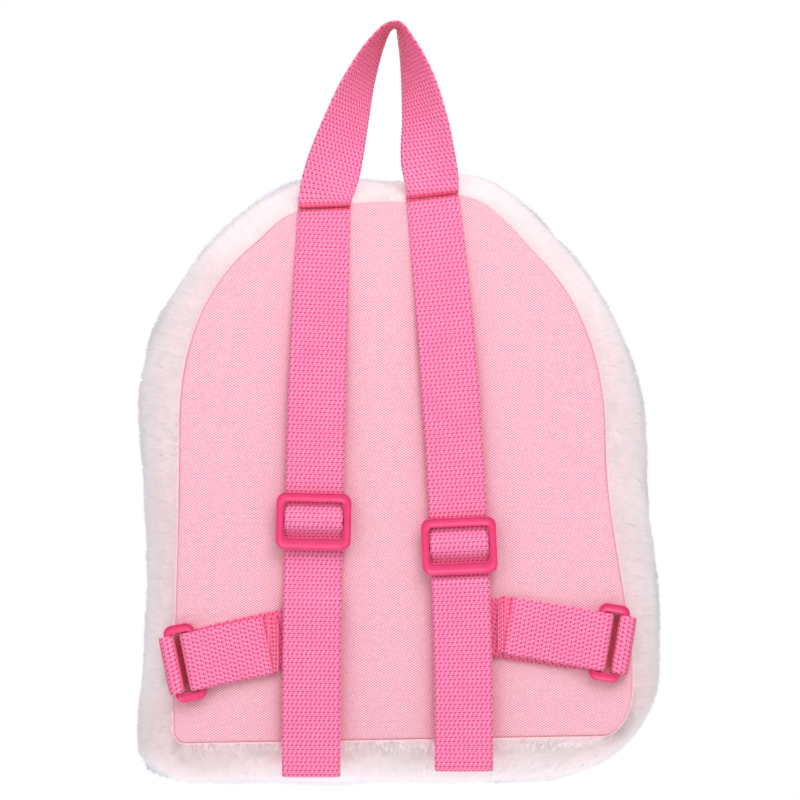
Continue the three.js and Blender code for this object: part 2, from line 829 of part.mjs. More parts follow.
function grabLoop() {
  const [left, right] = sides;
  const peak = webThick / 2;
  const places = loopRows.map((row) => {
    const end = row.across < 0 ? left : right;
    const foot = end.seamZ + sewnGap / 2;
    const x = Math.abs(row.across) * end.seamX;
    const twisted = Math.sin(radians(row.turn));
    return new THREE.Vector3(x, lying + twisted * loopBelly, foot + (peak - foot) * row.up);
  });
  const perSpan = 3;
  const points = route(places, perSpan);
  const stations = points.map((at, k) => {
    const s = k / perSpan;
    const before = Math.min(Math.floor(s), loopRows.length - 2);
    const [a, b] = [loopRows[before], loopRows[before + 1]];
    const t = s - before;
    const turn = radians(a.turn + (b.turn - a.turn) * t);
    const width = webWidth * (a.wide + (b.wide - a.wide) * t);
    const fromEnd = Math.min(k, points.length - 1 - k) / perSpan;
    const square = ease(Math.min(fromEnd / 2, 1));
    const end = at.x < 0 ? left : right;
    const climb = end.seamSlope * Math.cos(turn) * (1 - square);
    return { at, across: new THREE.Vector3(Math.cos(turn), Math.sin(turn), climb), width, square };
  });
  return webbing(stations);
}

const backpack = new THREE.Group();
function add(name, geometry, colour) {
  const mesh = new THREE.Mesh(geometry, material(colour));
  mesh.name = name;
  backpack.add(mesh);
}

add("plush_side", plushSide(), "plush");
add("back_panel", backPanel(), "panel");
add("front_panel", frontPanel(), "plush");
add("zip", zipClosure(), "zip");
add("grab_loop", grabLoop(), "webbing");
for (const row of sides) {
  add(`shoulder_strap_${row.name}`, shoulderStrap(row), "webbing");
  add(`adjuster_${row.name}`, adjuster(row), "plastic");
  add(`side_strap_${row.name}`, sideStrap(row), "webbing");
  add(`side_ring_${row.name}`, sideRing(row), "plastic");
  add(`anchor_tab_${row.name}`, anchorTab(row), "webbing");
}

export default backpack;
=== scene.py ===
# The looks of a child's plush backpack that hangs by its grab loop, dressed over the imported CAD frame.
# Sizes are in millimetres until a mesh is made. +X is to the right, +Z up, and +Y goes into the bag.
import math

import bpy
import numpy as np
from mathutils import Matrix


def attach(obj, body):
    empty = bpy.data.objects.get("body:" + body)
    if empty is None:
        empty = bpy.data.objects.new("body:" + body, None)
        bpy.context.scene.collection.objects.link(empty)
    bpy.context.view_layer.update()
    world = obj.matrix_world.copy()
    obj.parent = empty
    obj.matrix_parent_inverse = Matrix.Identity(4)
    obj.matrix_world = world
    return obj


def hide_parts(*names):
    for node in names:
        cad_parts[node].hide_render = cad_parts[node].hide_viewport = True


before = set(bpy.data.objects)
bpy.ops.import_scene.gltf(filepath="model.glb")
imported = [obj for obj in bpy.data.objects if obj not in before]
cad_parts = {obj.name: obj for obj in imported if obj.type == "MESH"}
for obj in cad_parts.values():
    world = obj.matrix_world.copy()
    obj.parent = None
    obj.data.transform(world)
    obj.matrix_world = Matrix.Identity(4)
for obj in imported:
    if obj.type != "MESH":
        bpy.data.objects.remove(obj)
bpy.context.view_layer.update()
rng = np.random.default_rng(7)

# Sizes shared with the CAD
BAG_WIDE = 228.2
BAG_HIGH = 263.3
BAG_DEPTH = 82.0
LOOP_DROP = 75.6
TOP_ROLL = 9.6
GAP = 0.3
SEWN_GAP = 0.5
WEB_WIDTH = 25.0
WEB_THICK = 1.5
PANEL_CROWN = 2.0
FRONT_CROWN = 14.0
FRONT_INSET = 14.0
FRONT_CORNER = 26.0
LUMP_HIGH = 0.8
PANEL_TOP = -LOOP_DROP
BELLY_TOP = PANEL_TOP + TOP_ROLL

# Half outlines, with widths as shares of BAG_WIDE and heights as shares of BAG_HIGH
HALF_COLUMNS = (
    *("side", "wide", "arch", "power", "base", "waist"),
    *("crest_at", "crest_wide", "crest_high", "corner_x", "corner_z", "high"),
)
PANEL_ROWS = (
    (1, 0.3996, 0.3973, 2.18, 0.4509, 0, 0.1494, 0.124, 0.027, 0.0565, 0.0817, 0.8781),
    (-1, 0.4089, 0.3821, 2.31, 0.4198, 0, 0.1972, 0.0719, 0.0118, 0.0219, 0.0228, 0.8902),
)
BELLY_ROWS = (
    (1, 0.4847, 0.4785, 2.11, 0.5079, 0.0039, 0.1823, 0.1823, 0.0292, 0.28, 0.1793, 1),
    (-1, 0.489, 0.3798, 2.05, 0.4921, -0.0158, 0.2147, 0.2147, 0.0232, 0.1323, 0.0604, 1),
)
STEPS = {"arch": 12, "side": 8, "corner": 5, "bottom": 5}
FINE = 8  # scene columns for each outline point of the CAD

# Cross-section of the plush side: share of the depth, and share of the way to the widest outline
SECTION_ROWS = (
    (0, 0),
    (0.035, 0.3),
    (0.09, 0.56),
    (0.17, 0.8),
    (0.28, 0.95),
    (0.4, 1),
    (0.54, 1),
    (0.67, 0.93),
    (0.79, 0.77),
    (0.89, 0.52),
    (0.955, 0.27),
    (1, 0),
)
BACK_ROWS = 6

# Soft lumps: lobes round the outline, lobes across the depth, phase, and share of LUMP_HIGH
LUMPS = (
    (9, 1.3, 0.4, 1.0),
    (14, 2.2, 2.1, 0.75),
    (19, 3.1, 4.4, 0.5),
)

# Fittings
GLIDE = {
    "wide": 32.2,
    "high": 24.6,
    "top": 4.1,
    "bottom": 5.2,
    "thick": 2.6,
    "round": 4.2,
    "window_round": 1.8,
}
GLIDE_SLACK = 0.4
GLIDE_SOFT = 0.42  # rounding of its edges
RING_SOFT = 0.45
GLIDE_BAR = {"high": 3.0, "thick": 1.4}
RING = {"wide": 13.5, "high": 33.5, "bar": 2.6, "end": 3.8, "round": 3.6, "window_round": 1.0}
FOLD_PLAY = 2.6

# One row for each side, in the CAD's shares
SIDE_COLUMNS = (
    *("name", "hand", "seam_x", "seam_down", "seam_slope", "foot_x", "foot_down"),
    *("bow", "glide_down", "ring_x", "ring_down", "slope", "sewn_end", "tab_reach"),
)
SIDE_ROWS = (
    (
        *("left", -1, -0.1332, 0.0131, 0.041, -0.1578, 0.9435),
        *(-0.0061, 0.5241, -0.3953, 0.7554, 11.5, 0.1731, 0.0377),
    ),
    (
        *("right", 1, 0.071, -0.0057, 0.12, 0.1302, 0.9339),
        *(0.0149, 0.564, 0.404, 0.7227, 9.5, 0.2059, 0.0411),
    ),
)
WIDTH_COLUMNS = ("seam_x", "foot_x", "bow", "ring_x", "sewn_end", "tab_reach")
HIDDEN_LAP = 7.0
SEAM_NARROWING = 0.9
NARROWING_HEIGHT = 80.0
FOOT_RADIUS = 1.6
FOOT_TAPER = 14.0
STRAP_SHIFT = 3.2
SEAM_LIFT = 14.0
SEAM_RISE = 40.0
BAR_PLAY = 0.4
WEB_BEND = 8.0
LOOP_BELLY = 2.0
LAYER = WEB_THICK + GAP
LYING = -(GAP + WEB_THICK / 2)
ON_ONE = LYING - LAYER
ON_TWO = ON_ONE - LAYER

# Weaves
WEB_COLUMN = 1.96  # across the webbing
WEB_ROW = 0.89  # along it
PANEL_ACROSS = 1.6  # between threads of one row
PANEL_UP = 1.08  # between every second row
HOLLOW = (0.6, 0.34)  # half width and half height of the webbing's hollows


def along_of(points):
    """Lengths along a line of points, from 0."""
    return np.concatenate([[0], np.cumsum(np.linalg.norm(np.diff(points, axis=0), axis=1))])


def halves_of(rows, top):
    halves = []
    for row in rows:
        half = dict(zip(HALF_COLUMNS, row))
        for key in ("wide", "base", "waist", "crest_at", "crest_wide", "corner_x"):
            half[key] *= BAG_WIDE
        for key in ("arch", "crest_high", "corner_z"):
            half[key] *= BAG_HIGH
        half["bottom"] = top - half["high"] * BAG_HIGH
        halves.append(half)
    return halves


def sides_of(rows):
    sides = []
    for row in rows:
        side = dict(zip(SIDE_COLUMNS, row))
        for key in WIDTH_COLUMNS:
            side[key] *= BAG_WIDE
        for key in ("seam", "foot", "glide", "ring"):
            side[key + "_z"] = PANEL_TOP - side[key + "_down"] * BAG_HIGH
        sides.append(side)
    return sides


PANEL_HALVES = halves_of(PANEL_ROWS, PANEL_TOP)
BELLY_HALVES = halves_of(BELLY_ROWS, BELLY_TOP)
SIDES = sides_of(SIDE_ROWS)


def ease(s):
    return s * s * (3 - 2 * s)


def unit(vectors):
    length = np.linalg.norm(vectors, axis=-1, keepdims=True)
    return vectors / np.maximum(length, 1e-9)


def srgb(red, green, blue):
    """A colour of the screen, 0 to 255, as the linear colour that a shader takes."""
    shares = np.array([red, green, blue]) / 255
    linear = np.where(shares <= 0.04045, shares / 12.92, ((shares + 0.055) / 1.055) ** 2.4)
    return (*linear.tolist(), 1.0)


def half_outline(half, top, other_bottom, fine):
    """One half of an outline, from the top centre down to the bottom centre."""
    shape = 2 / half["power"]
    angle = np.linspace(0, math.pi / 2, STEPS["arch"] * fine + 1)
    cosine = np.maximum(np.cos(angle), 0)
    arch_x = half["wide"] * np.sin(angle) ** shape
    from_crest = (arch_x - half["crest_at"]) / half["crest_wide"]
    crest = half["crest_high"] * np.maximum(0, 1 - from_crest**2) ** 2
    arch_z = top - half["arch"] * (1 - cosine**shape) + crest
    s = np.linspace(0, 1, STEPS["side"] * fine + 1)[1:]
    side_top = top - half["arch"]
    side_foot = half["bottom"] + half["corner_z"]
    side_x = half["wide"] + (half["base"] - half["wide"]) * ease(s)
    side_x = side_x + half["waist"] * np.sin(math.pi * s) ** 2
    side_z = side_top + (side_foot - side_top) * s
    turn = np.linspace(0, math.pi / 2, STEPS["corner"] * fine + 1)[1:]
    corner_x = half["base"] - half["corner_x"] * (1 - np.cos(turn))
    corner_z = side_foot - half["corner_z"] * np.sin(turn)
    s = np.linspace(0, 1, STEPS["bottom"] * fine + 1)[1:]
    middle = (half["bottom"] + other_bottom) / 2
    bottom_x = (half["base"] - half["corner_x"]) * (1 - s)
    bottom_z = half["bottom"] + (middle - half["bottom"]) * s
    x = np.concatenate([arch_x, side_x, corner_x, bottom_x]) * half["side"]
    z = np.concatenate([arch_z, side_z, corner_z, bottom_z])
    return np.stack([x, z], 1)


def outline(halves, top, fine=FINE):
    """Down the right half and back up the left one."""
    right, left = halves
    down = half_outline(right, top, left["bottom"], fine)
    up = half_outline(left, top, right["bottom"], fine)[::-1]
    return np.concatenate([down, up[1:-1]])


def front_half(half):
    made = dict(half)
    for key in ("wide", "arch", "base"):
        made[key] -= FRONT_INSET
    made["corner_x"] = made["corner_z"] = FRONT_CORNER
    made["bottom"] += FRONT_INSET
    return made


BACK_SEAM = outline(PANEL_HALVES, PANEL_TOP)
BELLY = outline(BELLY_HALVES, BELLY_TOP)
FRONT_SEAM = outline([front_half(half) for half in BELLY_HALVES], BELLY_TOP - FRONT_INSET)
COLUMNS = len(BELLY)


def crown_at(x, z):
    """How far the stuffed bag pushes its back panel out."""
    across = x / PANEL_HALVES[0]["base"]
    bottom = PANEL_HALVES[0]["bottom"]
    along = 2 * (z - (PANEL_TOP + bottom) / 2) / (PANEL_TOP - bottom)
    return PANEL_CROWN * np.maximum(0, 1 - across**2) * np.maximum(0, 1 - along**4)


def spline(places, per_span):
    """The same centripetal curve through places as the CAD's, as points with per_span steps to a span."""
    places = np.asarray(places, float)
    first = 2 * places[0] - places[1]
    last = 2 * places[-1] - places[-2]
    padded = np.concatenate([[first], places, [last]])
    points = []
    for k in range(len(places) - 1):
        p0, p1, p2, p3 = padded[k : k + 4]
        d0 = max(np.linalg.norm(p1 - p0) ** 0.5, 1e-4)
        d1 = max(np.linalg.norm(p2 - p1) ** 0.5, 1e-4)
        d2 = max(np.linalg.norm(p3 - p2) ** 0.5, 1e-4)
        m1 = ((p1 - p0) / d0 - (p2 - p0) / (d0 + d1) + (p2 - p1) / d1) * d1
        m2 = ((p2 - p1) / d1 - (p3 - p1) / (d1 + d2) + (p3 - p2) / d2) * d1
        t = (np.arange(per_span) / per_span)[:, None]
        points.append(
            p1 + m1 * t + (-3 * p1 + 3 * p2 - 2 * m1 - m2) * t**2 + (2 * p1 - 2 * p2 + m1 + m2) * t**3
        )
    points.append(places[-1:])
    return np.concatenate(points)


def smooth_noise(x, y, seed, octaves=2):
    """Seeded waves of two coordinates, about -1 to 1."""
    waves = np.random.default_rng(seed)
    total = np.zeros(np.broadcast(x, y).shape)
    for octave in range(octaves):
        for _ in range(5):
            angle = waves.uniform(0, 2 * math.pi)
            rate = waves.uniform(0.7, 1.4) * 2**octave
            shift = waves.uniform(0, 2 * math.pi)
            total += np.sin(rate * (x * math.cos(angle) + y * math.sin(angle)) + shift) / 2**octave
    return total / 4


# Meshes


def mesh_object(name, vertices, faces, material, uvs=None, tint=None, normals=None):
    """An object in metres that rides on the bag. faces is a list of arrays of three or four corners."""
    vertices = np.asarray(vertices, np.float64).reshape(-1, 3) / 1000
    faces = [np.asarray(block, np.int64) for block in faces if len(block)]
    corners = np.concatenate([block.ravel() for block in faces])
    counts = np.concatenate([np.full(len(block), block.shape[1]) for block in faces])
    mesh = bpy.data.meshes.new(name)
    mesh.vertices.add(len(vertices))
    mesh.vertices.foreach_set("co", vertices.astype(np.float32).ravel())
    mesh.loops.add(len(corners))
    mesh.loops.foreach_set("vertex_index", corners.astype(np.int32))
    mesh.polygons.add(len(counts))
    starts = np.concatenate([[0], np.cumsum(counts)[:-1]])
    mesh.polygons.foreach_set("loop_start", starts.astype(np.int32))
    mesh.update(calc_edges=True)
    if uvs is not None:
        layer = mesh.uv_layers.new(name="UVMap")
        layer.data.foreach_set("uv", np.asarray(uvs, np.float32)[corners].ravel())
    if tint is not None:
        attribute = mesh.color_attributes.new(name="tint", type="FLOAT_COLOR", domain="POINT")
        attribute.data.foreach_set("color", np.asarray(tint, np.float32).ravel())
    mesh.materials.append(material)
    if normals is not None:
        mesh.normals_split_custom_set_from_vertices(np.asarray(normals, np.float32).tolist())
    item = bpy.data.objects.new(name, mesh)
    bpy.context.scene.collection.objects.link(item)
    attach(item, "root")
    return item


def grid_faces(rows, columns, closed):
    """Quads of a grid of rows by columns, closed round the columns or not."""
    j, i = np.meshgrid(np.arange(rows - 1), np.arange(columns if closed else columns - 1), indexing="ij")
    here = j * columns + i
    right = j * columns + (i + 1) % columns
    return np.stack([here, right, right + columns, here + columns], -1).reshape(-1, 4)


def grid_normals(grid, closed):
    if closed:
        across = np.roll(grid, -1, 1) - np.roll(grid, 1, 1)
    else:
        across = np.gradient(grid, axis=1)
    down = np.gradient(grid, axis=0)
    return unit(np.cross(across, down))


# Materials


class Nodes:
    """A material's node tree with short ways to add to it."""

    def __init__(self, name):
        self.material = bpy.data.materials.new(name)
        self.material.use_nodes = True
        self.tree = self.material.node_tree
        self.shader = self.tree.nodes["Principled BSDF"]

    def add(self, kind, **settings):
        node = self.tree.nodes.new(kind)
        for key, value in settings.items():
            setattr(node, key, value)
        return node

    def link(self, source, target):
        self.tree.links.new(source, target)

    def put(self, socket, value):
        if isinstance(value, bpy.types.NodeSocket):
            self.link(value, socket)
        else:
            socket.default_value = value

    def math(self, operation, a, b=None):
        node = self.add("ShaderNodeMath", operation=operation)
        self.put(node.inputs[0], a)
        if b is not None:
            self.put(node.inputs[1], b)
        return node.outputs[0]

    def times(self, a, b):
        return self.math("MULTIPLY", a, b)

    def plus(self, a, b):
        return self.math("ADD", a, b)

    def minus(self, a, b):
        return self.math("SUBTRACT", a, b)

    def mix(self, share, a, b):
        node = self.add("ShaderNodeMix", data_type="RGBA")
        self.put(node.inputs[0], share)
        self.put(node.inputs[6], a)
        self.put(node.inputs[7], b)
        return node.outputs[2]

    def noise(self, vector, scale, detail=2.0):
        node = self.add("ShaderNodeTexNoise")
        self.link(vector, node.inputs["Vector"])
        node.inputs["Scale"].default_value = scale
        node.inputs["Detail"].default_value = detail
        return node.outputs[0]

    def ramp(self, value, low, high):
        node = self.add("ShaderNodeMapRange")
        self.put(node.inputs["Value"], value)
        node.inputs["From Min"].default_value = low
        node.inputs["From Max"].default_value = high
        return node.outputs[0]

    def drift(self, vector, scale, detail, reach):
        """Noise about zero, reach wide in all."""
        return self.times(self.minus(self.noise(vector, scale, detail), 0.5), reach)

    def painted_shade(self):
        """The red channel of the mesh's tint, which holds painted shade."""
        tint = self.add("ShaderNodeVertexColor", layer_name="tint").outputs[0]
        split = self.add("ShaderNodeSeparateColor")
        self.link(tint, split.inputs[0])
        return split.outputs[0]

    def bump(self, height, strength, distance):
        node = self.add("ShaderNodeBump")
        node.inputs["Strength"].default_value = strength
        node.inputs["Distance"].default_value = distance
        self.link(height, node.inputs["Height"])
        self.link(node.outputs[0], self.shader.inputs["Normal"])

    def set(self, **sockets):
        for key, value in sockets.items():
            self.shader.inputs[key.replace("_", " ")].default_value = value


def webbing_material():
    """Narrow polyester webbing: light threads with small deep hollows, every two rows shifted by half."""
    n = Nodes("webbing")
    uv = n.add("ShaderNodeTexCoord").outputs["UV"]
    split = n.add("ShaderNodeSeparateXYZ")
    n.link(uv, split.inputs[0])
    wander = n.drift(uv, 0.35, 1.0, 0.5)
    u = n.plus(split.outputs[0], wander)
    row = n.math("DIVIDE", split.outputs[1], WEB_ROW)
    pair = n.math("FLOOR", n.math("DIVIDE", row, 2.0))
    parity = n.math("MODULO", pair, 2.0)
    second = n.math("MODULO", n.math("FLOOR", row), 2.0)
    shift = n.plus(n.times(parity, 0.32), n.times(second, 0.14))
    column = n.plus(n.math("DIVIDE", u, WEB_COLUMN), shift)
    across = n.minus(n.math("FRACT", column), 0.5)
    along = n.minus(n.math("FRACT", row), 0.5)
    across = n.plus(across, n.times(along, 0.16))
    wide = n.math("POWER", n.times(across, WEB_COLUMN / HOLLOW[0]), 2.0)
    long = n.math("POWER", n.times(along, WEB_ROW / HOLLOW[1]), 2.0)
    hollow = n.math("SQRT", n.plus(wide, long))
    deep = n.minus(1.0, n.ramp(hollow, 0.5, 1.5))
    weaker = n.minus(1.0, n.times(second, 0.55))
    relief = n.minus(1.0, n.times(deep, weaker))
    light = n.plus(relief, n.drift(uv, 2.2, 3.0, 0.6))
    thread = n.mix(n.ramp(light, 0.0, 1.15), srgb(216, 8, 70), srgb(255, 150, 200))
    patchy = n.ramp(n.noise(uv, 0.09, 2.0), 0.35, 0.7)
    woven = n.mix(n.times(patchy, 0.2), thread, srgb(244, 84, 148))
    # Painted shade: the tint's red channel darkens the webbing to a deep red where shade falls on it, at
    # seams, folds, stitch rows and under the rings
    colour = n.mix(n.painted_shade(), woven, srgb(222, 8, 72))
    n.link(colour, n.shader.inputs["Base Color"])
    n.set(Roughness=0.6, Sheen_Weight=0.12, Sheen_Roughness=0.5)
    n.bump(light, 0.6, 0.0004)
    return n.material


def panel_material():
    """Plain oxford cloth: staggered thread tops that read as fine diagonals."""
    n = Nodes("panel")
    place = n.add("ShaderNodeTexCoord").outputs["Object"]
    split = n.add("ShaderNodeSeparateXYZ")
    n.link(place, split.inputs[0])
    wander = n.drift(place, 22.0, 1.0, 2.4)
    x = n.plus(n.times(split.outputs[0], 1000.0), wander)
    z = n.plus(n.times(split.outputs[2], 1000.0), n.times(wander, 0.5))
    across = n.math("COSINE", n.times(x, 2 * math.pi / PANEL_ACROSS))
    up = n.math("COSINE", n.times(z, 2 * math.pi / PANEL_UP))
    weave = n.plus(n.times(n.times(across, up), 0.5), 0.5)
    light = n.plus(weave, n.drift(place, 700.0, 2.0, 0.3))
    thread = n.mix(n.ramp(light, 0.0, 1.0), srgb(222, 108, 138), srgb(253, 222, 232))
    # Painted shade: the tint's red channel darkens the cloth to a deep red in the seam's groove, under the
    # side rings and beside the straps
    colour = n.mix(n.painted_shade(), thread, srgb(206, 70, 92))
    n.link(colour, n.shader.inputs["Base Color"])
    n.set(Roughness=0.8, Sheen_Weight=0.1, Sheen_Roughness=0.5)
    n.bump(light, 0.5, 0.0003)
    return n.material


def plush_material(name):
    n = Nodes(name)
    tint = n.add("ShaderNodeVertexColor", layer_name="tint").outputs[0]
    n.link(tint, n.shader.inputs["Base Color"])
    n.set(Roughness=1.0, Sheen_Weight=0.15, Sheen_Roughness=0.4)
    n.shader.inputs["Specular IOR Level"].default_value = 0.15
    return n.material


def plastic_material():
    """Moulded acetal in the webbing's colour, with a faint orange-peel skin."""
    n = Nodes("fittings")
    place = n.add("ShaderNodeTexCoord").outputs["Object"]
    cloud = n.noise(place, 140.0, 3.0)
    colour = n.mix(cloud, srgb(226, 40, 104), srgb(242, 66, 128))
    n.link(colour, n.shader.inputs["Base Color"])
    scuff = n.noise(place, 420.0, 4.0)
    rough = n.plus(n.times(scuff, 0.18), 0.3)
    n.link(rough, n.shader.inputs["Roughness"])
    n.bump(n.noise(place, 1500.0, 2.0), 0.12, 0.0001)
    return n.material


def thread_material(name, low, high):
    n = Nodes(name)
    place = n.add("ShaderNodeTexCoord").outputs["Object"]
    twist = n.noise(place, 1800.0, 2.0)
    n.link(n.mix(twist, low, high), n.shader.inputs["Base Color"])
    n.set(Roughness=0.7)
    n.bump(twist, 0.3, 0.0001)
    return n.material


WEBBING = webbing_material()
PANEL = panel_material()
PLUSH = plush_material("plush")
PILE = plush_material("pile")
PLASTIC = plastic_material()
STITCH = thread_material("stitch", srgb(244, 120, 170), srgb(255, 196, 222))
ZIP_TAPE = thread_material("zip_tape", srgb(238, 150, 178), srgb(250, 190, 208))
ZIP_TEETH = thread_material("zip_teeth", srgb(244, 120, 162), srgb(252, 160, 190))


# The plush side as a surface of two numbers: a column round the outline and a row of the section


SECTION_SPAN = 8  # rows for each span of the section
SECTION = spline(SECTION_ROWS, SECTION_SPAN)
DEEP = SECTION[:, 0]
SWELL = np.clip(SECTION[:, 1], 0, 1.02)
ROWS = len(DEEP)


def lump_at(column, deep):
    turn = 2 * math.pi * column / COLUMNS
    push = 0
    for lobes, across, phase, high in LUMPS:
        push = push + high * np.sin(lobes * turn + phase) * np.cos(across * math.pi * deep + phase)
    return push * np.sin(math.pi * np.clip(deep, 0, 1)) ** 0.7 * LUMP_HIGH


def side_surface():
    """Points and normals of the plush side's CAD surface, rows by columns."""
    rows = []
    for j in range(ROWS):
        seam = BACK_SEAM if j <= (BACK_ROWS - 1) * SECTION_SPAN else FRONT_SEAM
        flat = seam + (BELLY - seam) * SWELL[j]
        rows.append(np.stack([flat[:, 0], np.full(COLUMNS, DEEP[j] * BAG_DEPTH), flat[:, 1]], 1))
    grid = np.array(rows)
    normals = grid_normals(grid, True)
    columns = np.arange(COLUMNS)[None, :]
    push = lump_at(columns, DEEP[:, None])
    return grid + normals * push[..., None], normals


SIDE, SIDE_NORMAL = side_surface()
PERIMETER = along_of(BELLY)
ARC = along_of(SIDE[:, 0])


def at(grid, row, column):
    """A grid's value at fractions of its rows and columns."""
    row = np.clip(row, 0, ROWS - 1.001)
    j = np.floor(row).astype(int)
    i = np.floor(column).astype(int)
    t = (row - j)[..., None]
    s = (column - i)[..., None]
    a = i % COLUMNS
    b = (i + 1) % COLUMNS
    near = grid[j, a] * (1 - s) + grid[j, b] * s
    far = grid[j + 1, a] * (1 - s) + grid[j + 1, b] * s
    return near * (1 - t) + far * t


# Plush skin, sunk under the tips of its pile
PILE_DEEP = 3.2
RIM_SUNK = 0.4
SEAM_FADE = 7.0  # arc from a seam over which the skin sinks to its full depth
ZIP_ROW = 8.4 * SECTION_SPAN
ZIP_COLUMNS = 10 * FINE


def sunk_at(arc):
    """How far the skin lies under the plush's outer surface, at an arc from the back seam."""
    edge = np.minimum(arc, ARC[-1] - arc)
    return RIM_SUNK + PILE_DEEP * ease(np.clip(edge / SEAM_FADE, 0, 1))


def undulation(row, column):
    """Soft tufts that the pile gathers into, in millimetres."""
    x = column * 2 * math.pi / COLUMNS * 24
    y = row * 0.4
    return 0.62 * smooth_noise(x, y, 11) + 0.3 * smooth_noise(x * 2.6, y * 2.0, 12)


def zip_mask(row, column, margin):
    """Where the zip's slot opens the plush."""
    near_row = np.abs(row - ZIP_ROW) * (ARC[-1] / ROWS) < 3.5 + margin
    wrapped = np.minimum(column % COLUMNS, COLUMNS - column % COLUMNS)
    return near_row & (wrapped < ZIP_COLUMNS + margin)


SKIN_COLOUR = np.array(srgb(243, 232, 236))
# Painted reflection: the panel's pink cast on the skin in the groove by the seam
SKIN_SEAM = np.array(srgb(252, 206, 213))
SEAM_REACH = 2.6  # arc over which the skin takes a painted pink reflection of the panel


def skin_tint(arc):
    """The skin's colour at an arc from the back seam: a painted pink reflection of the panel in the groove,
    then its own.
    """
    share = ease(np.clip(arc / SEAM_REACH, 0, 1))[..., None]
    return SKIN_SEAM * (1 - share) + SKIN_COLOUR * share


SKIN_STEP = 2  # the skin takes every second row and column of the side's grid
SKIN_THICK = 1.6


def plush_skin():
    row, column = np.meshgrid(np.arange(0, ROWS, SKIN_STEP), np.arange(0, COLUMNS, SKIN_STEP), indexing="ij")
    rows, columns = row.shape
    arc = ARC[row]
    free = ease(np.clip(np.minimum(arc, ARC[-1] - arc) / SEAM_FADE, 0, 1))
    push = -sunk_at(arc) + 0.6 * undulation(row, column) * free
    outer = SIDE[row, column] + SIDE_NORMAL[row, column] * push[..., None]
    inner = SIDE[row, column] - SIDE_NORMAL[row, column] * (PILE_DEEP + SKIN_THICK)
    # The slot's faces are left out of both skins, and its edges joined
    quads = grid_faces(rows, columns, True)
    j = quads[:, 0] // columns
    i = quads[:, 0] % columns
    keep = ~zip_mask((j + 0.5) * SKIN_STEP, (i + 0.5) * SKIN_STEP, 0.0)
    count = rows * columns
    outside = quads[keep]
    inside = outside[:, ::-1] + count
    # Border edges of the kept faces are walled from the outer skin to the inner one
    edges = np.concatenate([outside[:, [k, (k + 1) % 4]] for k in range(4)])
    key = np.sort(edges, 1)
    _, first, times = np.unique(key[:, 0] * count + key[:, 1], return_index=True, return_counts=True)
    border = edges[first[times == 1]]
    walls = np.stack([border[:, 1], border[:, 0], border[:, 0] + count, border[:, 1] + count], 1)
    vertices = np.concatenate([outer.reshape(-1, 3), inner.reshape(-1, 3)])
    used = np.unique(np.concatenate([outside.ravel(), inside.ravel()]))
    remap = np.zeros(2 * count, int)
    remap[used] = np.arange(len(used))
    tint = np.tile(skin_tint(arc.ravel()), (2, 1))[used]
    item = mesh_object(
        "plush_skin",
        vertices[used],
        [remap[outside], remap[inside], remap[walls]],
        PLUSH,
        tint=tint,
    )
    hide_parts("plush_side")


# Front panel of plush
FRONT_RINGS = 40
FRONT_REACH = 90  # about how far its rim is from its middle
FRONT_MIDDLE = np.array([0, (BELLY_TOP + BELLY_HALVES[0]["bottom"]) / 2])


def front_point(share, column):
    """A place on the domed front: share of the way out from its middle, and a column of the outline."""
    i = np.floor(column).astype(int)
    s = (column - i)[..., None]
    rim = FRONT_SEAM[i % COLUMNS] * (1 - s) + FRONT_SEAM[(i + 1) % COLUMNS] * s
    flat = FRONT_MIDDLE + (rim - FRONT_MIDDLE) * share[..., None]
    y = BAG_DEPTH + FRONT_CROWN * (1 - share**2.4)
    return np.stack([flat[..., 0], y, flat[..., 1]], -1)


def front_normal(share, column):
    step = 0.004
    out = front_point(np.minimum(share + step, 1), column) - front_point(np.maximum(share - step, 0), column)
    ring = np.maximum(share, 0.02)
    around = front_point(ring, column + 2) - front_point(ring, column - 2)
    made = unit(np.cross(out, around))
    return np.where(made[..., 1:2] < 0, -made, made)


def sheet_faces(rings, columns):
    """Faces of a sheet of rings and of its back: both grids, the rim's wall and the two middles."""
    count = rings * columns
    i = np.arange(columns)
    after = (i + 1) % columns
    last = (rings - 1) * columns
    quads = grid_faces(rings, columns, True)
    walls = np.stack([after, i, count + i, count + after], 1)
    middle = np.stack([last + i, last + after, np.full(columns, 2 * count)], 1)
    middle_back = np.stack([count + last + after, count + last + i, np.full(columns, 2 * count + 1)], 1)
    return [quads, quads[:, ::-1] + count, walls, middle, middle_back]


def front_skin():
    share, column = np.meshgrid(np.linspace(1, 0.02, FRONT_RINGS), np.arange(0, COLUMNS, 4.0), indexing="ij")
    grid = front_point(share, column)
    normals = front_normal(share, column)
    rim = ease(np.clip((1 - share) * FRONT_REACH / SEAM_FADE, 0, 1))
    outer = grid - normals * (RIM_SUNK + PILE_DEEP * rim)[..., None]
    inner = grid - normals * (PILE_DEEP + SKIN_THICK)
    middle_out = np.array([[0, BAG_DEPTH + FRONT_CROWN - RIM_SUNK - PILE_DEEP, FRONT_MIDDLE[1]]])
    middle_in = middle_out - np.array([[0, SKIN_THICK, 0]])
    vertices = np.concatenate([outer.reshape(-1, 3), inner.reshape(-1, 3), middle_out, middle_in])
    item = mesh_object(
        "front_skin",
        vertices,
        sheet_faces(FRONT_RINGS, share.shape[1]),
        PLUSH,
        tint=np.tile(SKIN_COLOUR, (len(vertices), 1)),
    )
    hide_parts("front_panel")


# Pile: short soft hairs that gather into tufts


